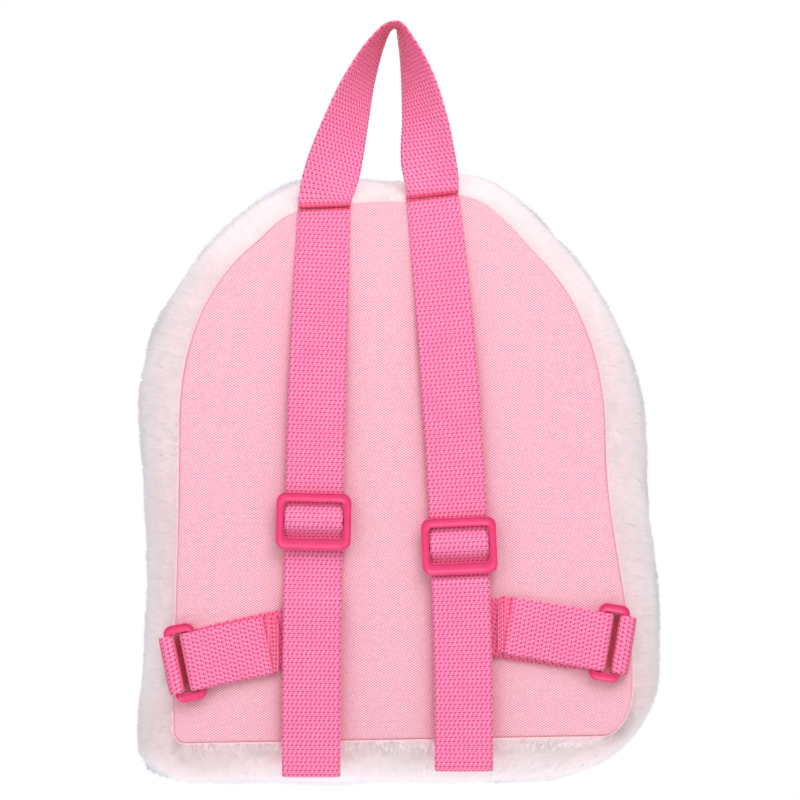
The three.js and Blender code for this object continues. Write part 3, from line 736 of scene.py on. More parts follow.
def hairs(name, roots, tips, normals, colours, width):
    """A mesh of tapered blades from roots to tips, each bent up at its foot. colours are for root and tip."""
    count = len(roots)
    along = unit(tips - roots)
    lift = np.einsum("ij,ij->i", along, normals)[:, None]
    long = np.linalg.norm(tips - roots, axis=1, keepdims=True)
    middle = roots + (tips - roots) * 0.5 + normals * (0.22 * long) * (1 - lift)
    turn = rng.normal(0, 0.55, count)[:, None]
    flat = unit(np.cross(along, normals))
    across = flat * np.cos(turn) + normals * np.sin(turn)
    half = (width * rng.uniform(0.75, 1.25, count) / 2)[:, None]
    vertices = np.stack(
        [
            roots - across * half,
            roots + across * half,
            middle + across * half * 0.85,
            middle - across * half * 0.85,
            tips,
        ],
        1,
    ).reshape(-1, 3)
    base = np.arange(count)[:, None] * 5
    quads = base + np.array([[0, 1, 2, 3]])
    points = base + np.array([[3, 2, 4]])
    root_tint, tip_tint = colours
    middle_tint = (root_tint + tip_tint) / 2
    tint = np.stack([root_tint, root_tint, middle_tint, middle_tint, tip_tint], 1)
    soft = unit(normals * 0.85 + along * 0.15)
    shade = np.repeat(soft, 5, 0)
    item = mesh_object(
        name,
        vertices,
        [quads, points],
        PILE,
        tint=tint.reshape(-1, 4),
        normals=shade,
    )
    # Light sinks through real pile, so its hairs neither shade nor darken one another here
    item.visible_shadow = False
    item.visible_diffuse = False
    return item


# Colours of the pile by arc from the back seam: a painted pink reflection of the panel beside it, then white,
# then a cooler painted shade towards the sides
PILE_ARCS = (0.0, 5.0, 14.0, 26.0, 40.0)
PILE_TINTS = np.array(
    [
        srgb(255, 226, 229),
        srgb(255, 232, 235),
        srgb(250, 238, 242),
        srgb(238, 230, 238),
        srgb(234, 229, 240),
    ]
)
ROOT_SHADE = 0.9  # roots are this much darker than tips, a painted shade deep in the pile


def pile_colours(arc, shade):
    """Root and tip colours of hairs, whiter or greyer by shade."""
    count = len(arc)
    base = np.stack([np.interp(arc, PILE_ARCS, PILE_TINTS[:, k]) for k in range(4)], 1)
    jitter = rng.normal(0, 0.025, count)[:, None] + shade[:, None] * 0.05
    tip = np.clip(base * (1 + jitter), 0, 0.98)
    root = tip * ROOT_SHADE
    root[:, 3] = tip[:, 3] = 1
    return root, tip


TUFT = 4.6  # size of a tuft


def tufted(u, v, size, seed):
    """The centre of the tuft that each place belongs to, on a jittered lattice in millimetres."""
    best = np.full(len(u), 1e9)
    centre = np.zeros((len(u), 2))
    cell_u = np.floor(u / size).astype(int)
    cell_v = np.floor(v / size).astype(int)
    for du in (-1, 0, 1):
        for dv in (-1, 0, 1):
            a = cell_u + du
            b = cell_v + dv
            mixed = (a * 73856093) ^ (b * 19349663) ^ (seed * 83492791)
            jitter_u = ((mixed >> 3) & 1023) / 1023
            jitter_v = ((mixed >> 13) & 1023) / 1023
            cu = (a + jitter_u) * size
            cv = (b + jitter_v) * size
            distance = (cu - u) ** 2 + (cv - v) ** 2
            nearer = distance < best
            best = np.where(nearer, distance, best)
            centre[nearer, 0] = cu[nearer]
            centre[nearer, 1] = cv[nearer]
    return centre


HAIR_LONG = 6.4


def lay_of(u, v, row, column):
    """Direction of the pile on the side: away from the nearer seam, downwards between, and swirled softly."""
    step = 0.5
    deeper = unit(at(SIDE, row + step, column) - at(SIDE, row - step, column))
    around = unit(at(SIDE, row, column + step) - at(SIDE, row, column - step))
    out = unit(at(SIDE_NORMAL, row, column))
    swirl = 0.34 * smooth_noise(u / 11, v / 11, 21) + 0.14 * smooth_noise(u / 3.5, v / 3.5, 22)
    rise = 0.55 + 0.14 * smooth_noise(u / 7, v / 7, 23)
    edge = np.exp(-np.minimum(v, ARC[-1] - v) / 2.2)[:, None]
    away = np.clip(1.25 * np.cos(math.pi * v / ARC[-1]), -1, 1)[:, None]
    down = np.array([[0.0, 0.0, -1.0]])
    down = down + out * out[:, 2:3]
    between = 1 - np.abs(away)
    level = np.abs(out[:, 2:3])
    lean = deeper * away * (0.8 - 0.5 * edge) + down * 0.9 * between + around * 0.6 * between * level
    lean = lean + around * swirl[:, None] + out * (rise[:, None] + 0.3 * edge)
    return unit(lean), out


def side_pile(name, u_from, u_to, v_from, v_to, density, width):
    """Hairs on the plush side between two arcs round it and two arcs across it."""
    count = int((u_to - u_from) * (v_to - v_from) * density)
    u = rng.uniform(u_from, u_to, count)
    v = rng.uniform(v_from, v_to, count)

    def place(u, v):
        column = np.interp(u % PERIMETER[-1], PERIMETER, np.arange(COLUMNS))
        row = np.interp(np.clip(v, 0, ARC[-1]), ARC, np.arange(ROWS))
        lay, out = lay_of(u, v, row, column)
        root = at(SIDE, row, column) - out * sunk_at(v)[:, None]
        rise = undulation(row, column)
        return row, column, lay, out, root, rise

    row, column, lay, out, root, rise = place(u, v)
    keep = ~zip_mask(row, column, 0.8)
    u, v, row, column, lay, out, root, rise = (x[keep] for x in (u, v, row, column, lay, out, root, rise))
    centre = tufted(u, v, TUFT, 5)
    _, _, tuft_lay, tuft_out, tuft_root, tuft_rise = place(centre[:, 0], np.clip(centre[:, 1], 0, ARC[-1]))
    short = 0.4 + 0.6 * ease(np.clip(v / 8, 0, 1))
    size = HAIR_LONG * rng.uniform(0.8, 1.1, len(u)) * short
    tip = root + lay * size[:, None] + out * (rise * 0.8)[:, None]
    tuft_tip = tuft_root + tuft_lay * (HAIR_LONG * short)[:, None] * 1.02
    tuft_tip = tuft_tip + tuft_out * (tuft_rise * 0.8 + 0.2)[:, None]
    gather = rng.uniform(0.08, 0.26, len(u))[:, None]
    tip = tip * (1 - gather) + tuft_tip * gather + rng.normal(0, 0.2, (len(u), 3))
    colours = pile_colours(v, smooth_noise(u / 12, v / 16, 31))
    return hairs(name, root, tip, out, colours, width)


def front_pile(name, count, width, seed):
    share = np.sqrt(rng.uniform(0, 1, count)) * 0.995
    column = rng.uniform(0, COLUMNS, count)
    point = front_point(share, column)
    out = front_normal(share, column)
    rim = ease(np.clip((1 - share) * FRONT_REACH / SEAM_FADE, 0, 1))
    root = point - out * (RIM_SUNK + PILE_DEEP * rim)[:, None]
    x, z = point[:, 0], point[:, 2]
    centre = tufted(x, z, TUFT, seed)
    down = np.array([[0.0, 0.0, -1.0]])
    swirl = np.stack(
        [smooth_noise(x / 11, z / 11, 41), np.zeros(count), smooth_noise(x / 11, z / 11, 42)], 1
    )
    lay = unit(down * 0.8 + swirl * 0.25 + out * 0.6)
    tip = root + lay * (HAIR_LONG * rng.uniform(0.8, 1.1, count))[:, None]
    drawn = np.stack([centre[:, 0] - x, np.zeros(count), centre[:, 1] - z], 1)
    tip = tip + drawn * rng.uniform(0.2, 0.45, count)[:, None]
    colours = pile_colours(np.full(count, PILE_ARCS[2]), smooth_noise(x / 14, z / 14, 31))
    return hairs(name, root, tip, out, colours, width)


# Back panel: one sheet of oxford cloth, its rim rolled into the seam
PANEL_RINGS = 46
PANEL_BACKING = 1.1  # thickness of the sheet
ROLL_BACKING = 0.25  # and over its rolled edge
ROLL_RINGS = 6


def inset(points, distance):
    along = unit(np.roll(points, -1, 0) - np.roll(points, 1, 0))
    return points + np.stack([along[:, 1], -along[:, 0]], 1) * distance


def back_panel():
    rim = inset(BACK_SEAM, 0.5)
    middle = np.array([0, (PANEL_TOP + PANEL_HALVES[0]["bottom"]) / 2])
    reach = np.linalg.norm(rim - middle, axis=1)
    # Rings from the hidden rim behind, round the rolled edge and in to the middle
    edge = np.array([2.6, 1.7, 0.9, 0.35, 0.0, 0.1, 0.45, 1.0, 1.8, 3.0, 4.6, 7.0])
    depth = np.array([2.4, 2.4, 2.2, 1.8, 1.2, 0.7, 0.32, 0.12, 0.03, 0, 0, 0])
    # Painted shade that darkens the cloth ring by ring where it rolls into the seam's groove
    painted_shade = np.array([1, 1, 1, 1, 1, 0.5, 0.12, 0.03, 0, 0, 0, 0])
    shares = np.linspace(1, 0.015, PANEL_RINGS)
    rows, tints = [], []

    def painted_shade_by_straps(flat):
        """Painted shade under the side rings, and a painted shadow beside the straps that is deeper lower
        down.
        """
        made = np.zeros(len(flat))
        for side in SIDES:
            _, inwards, _ = ring_frame(side)
            from_ring = flat - np.array([side["ring_x"], side["ring_z"]])
            travel = from_ring[:, 0] * inwards[0] + from_ring[:, 1] * inwards[2]
            high = from_ring[:, 0] * inwards[2] - from_ring[:, 1] * inwards[0]
            made = np.maximum(made, np.exp(-((travel / 5.0) ** 4) - (high / 12.5) ** 8))
            strap_x, _ = strap_line(side, flat[:, 1])
            # A painted shadow beside each strap, fading over a few millimetres
            beside = np.clip(np.abs(flat[:, 0] - strap_x) - WEB_WIDTH / 2, 0, None)
            lower = np.clip((side["seam_z"] - flat[:, 1]) / 90, 0.15, 1)
            made = np.maximum(made, 0.26 * np.exp(-beside / 4.5) * lower)
        return made

    arc = along_of(rim)
    for k in range(len(edge)):
        flat = middle + (rim - middle) * (1 - edge[k] / reach)[:, None]
        rows.append((flat, np.full(COLUMNS, depth[k]), np.full(COLUMNS, edge[k])))
        # Painted shade in the seam's groove, patchy along it
        painted_seam_shade = painted_shade[k] * np.clip(0.62 + 0.5 * smooth_noise(arc / 9, arc * 0, 52), 0.1, 1)
        tints.append(np.maximum(painted_seam_shade, painted_shade_by_straps(flat)))
    for share in shares[1:]:
        inner = edge[-1] + (reach - edge[-1]) * (1 - share)
        flat = middle + (rim - middle) * (1 - inner / reach)[:, None]
        rows.append((flat, np.zeros(COLUMNS), inner))
        tints.append(painted_shade_by_straps(flat))
    grid = []
    for flat, deep, inner in rows:
        x, z = flat[:, 0], flat[:, 1]
        pucker = 0.16 * np.sin(arc * 0.85 + 1.3 * np.sin(arc * 0.11)) * np.exp(-inner / 3.5)
        ripple = 0.22 * smooth_noise(x / 26, z / 34, 51)
        y = deep - crown_at(x, z) + (pucker + ripple) * np.clip(inner, 0, 1)
        grid.append(np.stack([x, y, z], 1))
    grid = np.array(grid)
    behind = grid + np.array([0, PANEL_BACKING, 0])
    behind[:ROLL_RINGS] = grid[:ROLL_RINGS] + np.array([0, ROLL_BACKING, 0])
    centre = grid[-1].mean(0)
    middles = [centre, centre + [0, PANEL_BACKING, 0]]
    vertices = np.concatenate([grid.reshape(-1, 3), behind.reshape(-1, 3), middles])
    painted_shade = np.concatenate([np.array(tints).ravel(), np.array(tints).ravel(), [0, 0]])
    tint = np.stack([painted_shade, painted_shade, painted_shade, np.ones_like(painted_shade)], 1)
    item = mesh_object(
        "back_panel_cloth",
        vertices,
        sheet_faces(len(grid), COLUMNS),
        PANEL,
        tint=tint,
    )
    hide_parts("back_panel")


# Webbing
SELVEDGE = 0.09  # ripple of the webbing's edges
EDGE_ROUND = 0.62
STATION = 0.8  # spacing along the webbing


def resample(centre, extras):
    """Even stations along a line, with other values carried along."""
    length = along_of(centre)
    count = max(int(length[-1] / STATION), 4)
    s = np.linspace(0, length[-1], count + 1)
    made = np.stack([np.interp(s, length, centre[:, k]) for k in range(3)], 1)
    carried = []
    for values in extras:
        values = np.asarray(values, float)
        if values.ndim == 1:
            carried.append(np.interp(s, length, values))
        else:
            carried.append(np.stack([np.interp(s, length, values[:, k]) for k in range(values.shape[1])], 1))
    return made, s, carried


def web_frame(centre, across, square):
    """Directions along, across and out of a web. Where square is under 1 the web is cut on a slant."""
    along = unit(np.gradient(centre, axis=0))
    across = unit(across - along * (np.einsum("ij,ij->i", across, along) * square)[:, None])
    return across, unit(np.cross(along, across))


def webbing(name, centre, across, width, node, draped=True, pinches=(), square=None, painted_shade=None, painted_shades=()):
    """A woven strap with round, rippled edges. pinches are places along it drawn thin by a seam.

    Painted shade deepens the colour station by station, or at places along it.
    """
    if square is None:
        square = np.ones(len(centre))
    if painted_shade is None:
        painted_shade = np.zeros(len(centre))
    centre, s, (across, width, square, painted_shade) = resample(centre, [across, width, square, painted_shade])
    for place, reach, share in painted_shades:
        where = place if place >= 0 else s[-1] + place
        painted_shade = np.maximum(painted_shade, share * np.exp(-(((s - where) / reach) ** 2)))
    across, face = web_frame(centre, across, square)
    thick = np.full(len(s), WEB_THICK)
    for place, reach, share in pinches:
        thick -= WEB_THICK * share * np.exp(-(((s - place) / reach) ** 2))
    flats = 13
    rounds = 5
    angle = np.linspace(-math.pi / 2, math.pi / 2, rounds)
    section = []
    for k in range(flats):
        section.append((-1 + 2 * (k + 0.5) / flats, -1, 0))
    for a in angle[1:-1]:
        section.append((1, math.sin(a), math.cos(a)))
    for k in range(flats):
        section.append((1 - 2 * (k + 0.5) / flats, 1, 0))
    for a in angle[1:-1]:
        section.append((-1, -math.sin(a), -math.cos(a)))
    section = np.array(section)
    ripple = SELVEDGE * np.sin(s * math.pi / WEB_ROW) + 0.12 * smooth_noise(s / 14, s * 0, 61)
    half = (width / 2 + ripple)[:, None]
    round_edge = np.minimum(thick / 2, EDGE_ROUND)[:, None]
    flat_half = half - round_edge
    u = section[None, :, 0] * flat_half + section[None, :, 2] * round_edge
    v = section[None, :, 1] * thick[:, None] / 2
    # The flat faces are a touch thinner towards the edges
    v = v * (1 - 0.12 * np.abs(section[None, :, 0]) ** 6)
    grid = centre[:, None] + across[:, None] * u[..., None] + face[:, None] * v[..., None]
    if draped:
        grid[..., 1] -= crown_at(grid[..., 0], grid[..., 2])
    uvs = np.stack([u + WEB_WIDTH / 2, np.broadcast_to(s[:, None], u.shape)], -1)
    count = len(section)
    quads = grid_faces(len(s), count, True)[:, ::-1]
    ends = grid[[0, -1]].mean(1)
    total = len(s) * count
    i = np.arange(count)
    start = np.stack([i, (i + 1) % count, np.full(count, total)], 1)
    stop = np.stack([total - count + (i + 1) % count, total - count + i, np.full(count, total + 1)], 1)
    vertices = np.concatenate([grid.reshape(-1, 3), ends])
    flat_uv = np.concatenate([uvs.reshape(-1, 2), [[WEB_WIDTH / 2, 0], [WEB_WIDTH / 2, s[-1]]]])
    shade = np.concatenate([np.repeat(painted_shade, count), painted_shade[[0, -1]]])
    tint = np.stack([shade, shade, shade, np.ones_like(shade)], 1)
    item = mesh_object(name, vertices, [quads, start, stop], WEBBING, uvs=flat_uv, tint=tint)
    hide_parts(node)


def strap_line(side, z):
    top = side["seam_z"]
    s = np.clip((top - z) / (top - side["foot_z"]), -0.1, 1.1)
    bow = 4 * side["bow"]
    x = side["seam_x"] + (side["foot_x"] - side["seam_x"]) * s + bow * s * (1 - s)
    lean = -(side["foot_x"] - side["seam_x"] + bow * (1 - 2 * s)) / (top - side["foot_z"])
    return x, lean


def turn_about(travel, depth, radius, start, stop, steps):
    angle = np.radians(np.linspace(start, stop, steps + 1))
    return list(zip(travel + radius * np.cos(angle), depth + radius * np.sin(angle)))


def shoulder_strap(side):
    z = side["glide_z"]
    window_top = GLIDE["high"] / 2 - GLIDE["top"]
    window_foot = GLIDE["high"] / 2 - GLIDE["bottom"]
    over_bar = ON_ONE - WEB_THICK - 2 * GAP - GLIDE_BAR["thick"]
    foot = side["foot_z"] + FOOT_RADIUS + WEB_THICK / 2
    foot_depth = ON_TWO + FOOT_RADIUS
    slant = math.tan(math.radians(side["slope"]))
    under_middle = side["ring_z"] + abs(side["ring_x"] - side["foot_x"]) * slant
    under_half = WEB_WIDTH / 2 * (1 + slant) + 3 * GAP
    under_top = under_middle + under_half
    under_foot = under_middle - under_half
    bar_edge = GLIDE_BAR["high"] / 2 + GAP
    rows = [
        (side["seam_z"] - SEWN_GAP / 2, LYING),
        (side["seam_z"] - SEAM_LIFT, LYING),
        (side["seam_z"] - SEAM_RISE, (LYING + ON_ONE) / 2),
        (z + SEAM_RISE, ON_ONE),
        (z + window_top + WEB_BEND, ON_ONE),
        (z + window_top - BAR_PLAY, ON_ONE),
        (z + bar_edge, over_bar),
        (z - bar_edge, over_bar),
        (z - window_foot + BAR_PLAY, ON_ONE),
        (under_top + STRAP_SHIFT, ON_ONE),
        (under_top, ON_TWO),
        (under_middle, ON_TWO),
        (under_foot, ON_TWO),
        (foot + FOOT_TAPER, ON_TWO),
        *turn_about(foot, foot_depth, FOOT_RADIUS, -90, -270, 4),
        (foot + FOOT_TAPER, (ON_ONE + LYING) / 2),
        (under_foot, ON_ONE),
        (under_middle, ON_ONE),
        (under_top, ON_ONE),
        (under_top + STRAP_SHIFT, LYING),
        (under_top + 3 * STRAP_SHIFT, LYING),
        (z, LYING),
        (z + GLIDE_BAR["high"] / 2 + 2 * WEB_THICK, LYING),
    ]
    line = spline([(0, depth, up) for up, depth in rows], 10)
    x, lean = strap_line(side, line[:, 2])
    line[:, 0] = x
    square = ease(np.clip((side["seam_z"] - line[:, 2]) / SEAM_LIFT, 0, 1))
    climb = side["seam_slope"] * (1 - square) - lean * square
    across = np.stack([np.ones(len(x)), np.zeros(len(x)), climb], 1)
    drawn = 1 - np.clip((side["seam_z"] - line[:, 2]) / NARROWING_HEIGHT, 0, 1)
    width = WEB_WIDTH * (1 - (1 - SEAM_NARROWING) * drawn)
    name = "shoulder_strap_" + side["name"]
    # Painted shade at the strap's top, where it goes into the seam
    webbing(name + "_web", line, across, width, name, square=square, painted_shades=[(0, 1.0, 0.85)])


def ring_frame(side):
    slope = math.radians(side["slope"])
    inwards = np.array([-side["hand"] * math.cos(slope), 0, math.sin(slope)])
    up = np.array([side["hand"] * math.sin(slope), 0, math.cos(slope)])
    middle = np.array([side["ring_x"], 0, side["ring_z"]])

    def place(travel, depth, high=0.0):
        return middle + inwards * travel + up * high + np.array([0, depth, 0])

    return up, inwards, place


BAR_MIDDLE = RING["wide"] / 2 - RING["bar"] / 2
BAR_DEPTH = -(GAP + WEB_THICK + GAP + RING["bar"] / 2)
WRAP_RADIUS = RING["bar"] / 2 + GAP + WEB_THICK / 2


PEEK = {"left": 1.5, "right": -1.9}  # how far the back layer shows beyond the front one
END_ROUND = 3.4
END_EASE = 1.6  # what the free end reaches beyond its place in the solid
SEWN_ROWS = (1.9, 4.5)  # rows of stitches, from the free end


def side_strap(side):
    up, inwards, place = ring_frame(side)
    hidden_end = abs(side["ring_x"] - side["foot_x"]) + HIDDEN_LAP
    peek = PEEK[side["name"]]
    rows = [
        (hidden_end, LYING, peek),
        (hidden_end / 2, LYING, peek),
        (BAR_MIDDLE + WEB_BEND, LYING, peek * 0.7),
        *turn_about(BAR_MIDDLE - FOLD_PLAY, BAR_DEPTH, WRAP_RADIUS, 90, 270, 8),
        (BAR_MIDDLE, BAR_DEPTH - WRAP_RADIUS),
        (BAR_MIDDLE + WEB_BEND, ON_ONE - WEB_THICK / 2),
        (BAR_MIDDLE + 2 * WEB_BEND, ON_ONE),
        (BAR_MIDDLE / 2 + WEB_BEND + side["sewn_end"] / 2, ON_ONE),
        (side["sewn_end"] + END_EASE, ON_ONE),
    ]
    line = spline([place(*row) for row in rows], 10)
    length = along_of(line)
    left = length[-1] - length
    # The free end is cut parallel to the shoulder strap, and its upper corner is rounded
    cut = ease(np.clip(1 - left / 6, 0, 1))[:, None]
    across = up * (1 - cut) + np.array([[0, 0, 1]]) * cut
    turn = np.clip(END_ROUND - left, 0, END_ROUND)
    trim = END_ROUND - np.sqrt(END_ROUND**2 - turn**2 + 0.01)
    trim = np.clip(trim, 0, None) * (left < END_ROUND)
    width = WEB_WIDTH / np.cos(math.radians(side["slope"]) * cut[:, 0]) - trim
    line = line - across * (trim / 2)[:, None]
    name = "side_strap_" + side["name"]
    pinches = [(length[-1] - back, 0.7, 0.3) for back in SEWN_ROWS]
    # Painted shade on the stitch rows and between them at the sewn end
    painted_shades = [(-back, 0.75, 0.75) for back in SEWN_ROWS] + [(-sum(SEWN_ROWS) / 2, 2.6, 0.35)]
    # Painted shade on the layer that lies behind, deepest where it wraps the ring's bar
    behind = ease(np.clip((line[:, 1] - ON_ONE) / 1.6, 0, 1))
    travel = (line - place(0, 0)) @ inwards
    painted_shade = behind * (0.35 + 0.55 * np.exp(-(((travel - BAR_MIDDLE) / 4) ** 4)))
    square = 1 - cut[:, 0]
    webbing(name + "_web", line, across, width, name, pinches=pinches, square=square, painted_shade=painted_shade, painted_shades=painted_shades)


def anchor_tab(side):
    up, _, place = ring_frame(side)
    reach = side["tab_reach"]
    rows = [
        (-reach + WEB_THICK, LYING),
        (-BAR_MIDDLE, LYING),
        *turn_about(-BAR_MIDDLE, BAR_DEPTH, WRAP_RADIUS, 78, -90, 8),
        (-RING["wide"] / 2, BAR_DEPTH - WRAP_RADIUS),
        (GAP - reach, BAR_DEPTH - 3 * GAP),
        (-reach, ON_ONE + WEB_THICK / 3),
    ]
    line = spline([place(*row) for row in rows], 10)
    across = np.tile(up, (len(line), 1))
    name = "anchor_tab_" + side["name"]
    # Painted shade on the tab where it lies deeper, under the ring
    painted_shade = 0.9 * ease(np.clip((line[:, 1] - line[:, 1].min() - 0.4) / 1.8, 0, 1))
    webbing(name + "_web", line, across, np.full(len(line), WEB_WIDTH), name, painted_shade=painted_shade)


# Grab loop rows: share across to that end's seam, share up to the hook, turn in degrees, share of the width
LOOP_ROWS = (
    (-1, 0, 0, 0.9),
    (-0.98, 0.07, 0, 0.92),
    (-0.87, 0.22, 16, 0.98),
    (-0.7, 0.45, 40, 1),
    (-0.51, 0.68, 58, 1),
    (-0.25, 0.895, 76, 1),
    (-0.07, 0.985, 87, 1),
    (0.06, 0.99, 93, 1),
    (0.31, 0.88, 106, 1),
    (0.59, 0.68, 124, 1),
    (0.78, 0.45, 140, 1),
    (0.88, 0.22, 164, 0.98),
    (0.99, 0.07, 180, 0.92),
    (1, 0, 180, 0.9),
)


PEAK_SHARE = 0.5  # where the peak is along the loop


def grab_loop():
    left, right = SIDES
    places = []
    for across, up, turn, _ in LOOP_ROWS:
        end = left if across < 0 else right
        foot = end["seam_z"] + SEWN_GAP / 2
        depth = LYING + math.sin(math.radians(turn)) * LOOP_BELLY
        places.append((abs(across) * end["seam_x"], depth, foot + (WEB_THICK / 2 - foot) * up))
    per_span = 12
    line = spline(places, per_span)
    s = np.arange(len(line)) / per_span
    knots = np.arange(len(LOOP_ROWS))
    turn = np.radians(np.interp(s, knots, [row[2] for row in LOOP_ROWS]))
    width = WEB_WIDTH * np.interp(s, knots, [row[3] for row in LOOP_ROWS])
    from_end = np.minimum(s, s[-1] - s)
    square = ease(np.minimum(from_end / 2, 1))
    slope = np.where(line[:, 0] < 0, left["seam_slope"], right["seam_slope"])
    across = np.stack([np.cos(turn), np.sin(turn), slope * np.cos(turn) * (1 - square)], 1)
    long = np.linalg.norm(np.diff(line, axis=0), axis=1).sum()
    # Painted shade at both feet by the seam and over the peak
    painted_shades = [(0, 1.9, 0.9), (-0.001, 1.9, 0.9), (PEAK_SHARE * long, 22, 0.42)]
    webbing("grab_loop_web", line, across, width, "grab_loop", draped=False, square=square, painted_shades=painted_shades)


# Moulded fittings


def rounded_loop(wide, high, radius, middle_z, per_corner=8, per_side=6):
    """Points round a rectangle with round corners, the same number for any size."""
    points = []
    corners = ((1, 1, 0), (-1, 1, 90), (-1, -1, 180), (1, -1, 270))
    for k, (sx, sz, start) in enumerate(corners):
        cx = sx * (wide / 2 - radius)
        cz = sz * (high / 2 - radius)
        for step in range(per_corner + 1):
            a = math.radians(start + 90 * step / per_corner)
            points.append((cx + radius * math.cos(a), middle_z + cz + radius * math.sin(a)))
        nx, nz, nstart = corners[(k + 1) % 4]
        end = np.array(points[-1])
        a = math.radians(nstart)
        after = np.array(
            [
                nx * (wide / 2 - radius) + radius * math.cos(a),
                middle_z + nz * (high / 2 - radius) + radius * math.sin(a),
            ]
        )
        for step in range(1, per_side):
            points.append(tuple(end + (after - end) * step / per_side))
    return np.array(points)


def moulded_frame(outer, inner, thick, soften, arcs=4):
    """A closed frame between two loops with a softly rounded section, its back at depth 0."""
    count = len(outer)
    span = np.linalg.norm(inner - outer, axis=1)
    rows = []
    r = soften
    corner = np.linspace(0, math.pi / 2, arcs + 1)
    # Section round the bar: share across it from the outer loop, in millimetres from either edge, and depth
    path = []
    for a in corner:
        path.append((0, r * (1 - math.sin(a)), -r * (1 - math.cos(a))))
    for a in corner:
        path.append((1, -r * (1 - math.cos(a)), -r * (1 - math.sin(a))))
    for a in corner:
        path.append((1, -r * (1 - math.sin(a)), -(thick - r * (1 - math.cos(a)))))
    for a in corner:
        path.append((0, r * (1 - math.cos(a)), -(thick - r * (1 - math.sin(a)))))
    across = (inner - outer) / span[:, None]
    for share, offset, depth in path:
        flat = outer + across * (share * span + offset)[:, None]
        rows.append(np.stack([flat[:, 0], np.full(count, depth), flat[:, 1]], 1))
    grid = np.array(rows)
    j, i = np.meshgrid(np.arange(len(path)), np.arange(count), indexing="ij")
    here = j * count + i
    right = j * count + (i + 1) % count
    up = ((j + 1) % len(path)) * count
    quads = np.stack([here, up + i, up + (i + 1) % count, right], -1).reshape(-1, 4)
    return grid.reshape(-1, 3), quads


def moulded_bar(long, high, thick, middle_z=0.0, segments=12):
    """A round-edged bar along X, its back at depth 0."""
    angle = np.linspace(0, 2 * math.pi, segments, endpoint=False)
    z = middle_z + high / 2 * np.sign(np.cos(angle)) * np.abs(np.cos(angle)) ** 0.6
    y = -thick / 2 + thick / 2 * np.sign(np.sin(angle)) * np.abs(np.sin(angle)) ** 0.6
    left = np.stack([np.full(segments, -long / 2), y, z], 1)
    right = np.stack([np.full(segments, long / 2), y, z], 1)
    ends = [[-long / 2, -thick / 2, middle_z], [long / 2, -thick / 2, middle_z]]
    vertices = np.concatenate([left, right, ends])
    i = np.arange(segments)
    after = (i + 1) % segments
    sides = np.stack([i, i + segments, after + segments, after], 1)
    caps = np.stack([i, after, np.full(segments, 2 * segments)], 1)
    caps_2 = np.stack([after + segments, i + segments, np.full(segments, 2 * segments + 1)], 1)
    return vertices, sides, caps, caps_2


def turned(vertices, angle, place):
    """Turned about the depth axis and moved."""
    c, s = math.cos(angle), math.sin(angle)
    x = vertices[:, 0] * c + vertices[:, 2] * s
    z = -vertices[:, 0] * s + vertices[:, 2] * c
    return np.stack([x, vertices[:, 1], z], 1) + np.array(place)


def drape(vertices):
    vertices = vertices.copy()
    vertices[:, 1] -= crown_at(vertices[:, 0], vertices[:, 2])
    return vertices


def adjuster(side):
    window_wide = WEB_WIDTH + 2 * GLIDE_SLACK
    window_high = GLIDE["high"] - GLIDE["top"] - GLIDE["bottom"]
    middle = (GLIDE["bottom"] - GLIDE["top"]) / 2
    outer = rounded_loop(GLIDE["wide"], GLIDE["high"], GLIDE["round"], 0)
    inner = rounded_loop(window_wide, window_high, GLIDE["window_round"], middle)
    vertices, quads = moulded_frame(outer, inner, GLIDE["thick"], GLIDE_SOFT)
    bar, sides, caps, caps_2 = moulded_bar(
        (window_wide + GLIDE["wide"]) / 2, GLIDE_BAR["high"], GLIDE_BAR["thick"]
    )
    shift = len(vertices)
    x, lean = strap_line(side, side["glide_z"])
    place = (x, ON_ONE - WEB_THICK / 2 - GAP, side["glide_z"])
    vertices = drape(turned(np.concatenate([vertices, bar]), math.atan(lean), place))
    name = "adjuster_" + side["name"]
    faces = [quads, sides + shift, caps + shift, caps_2 + shift]
    item = mesh_object(name + "_moulded", vertices, faces, PLASTIC)
    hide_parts(name)


def side_ring(side):
    outer = rounded_loop(RING["wide"], RING["high"], RING["round"], 0)
    window_wide = RING["wide"] - 2 * RING["bar"]
    window_high = RING["high"] - 2 * RING["end"]
    inner = rounded_loop(window_wide, window_high, RING["window_round"], 0)
    vertices, quads = moulded_frame(outer, inner, RING["bar"], RING_SOFT)
    angle = math.radians(side["hand"] * side["slope"])
    place = (side["ring_x"], BAR_DEPTH + RING["bar"] / 2, side["ring_z"])
    vertices = drape(turned(vertices, angle, place))
    name = "side_ring_" + side["name"]
    item = mesh_object(name + "_moulded", vertices, [quads], PLASTIC)
    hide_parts(name)


# Stitches


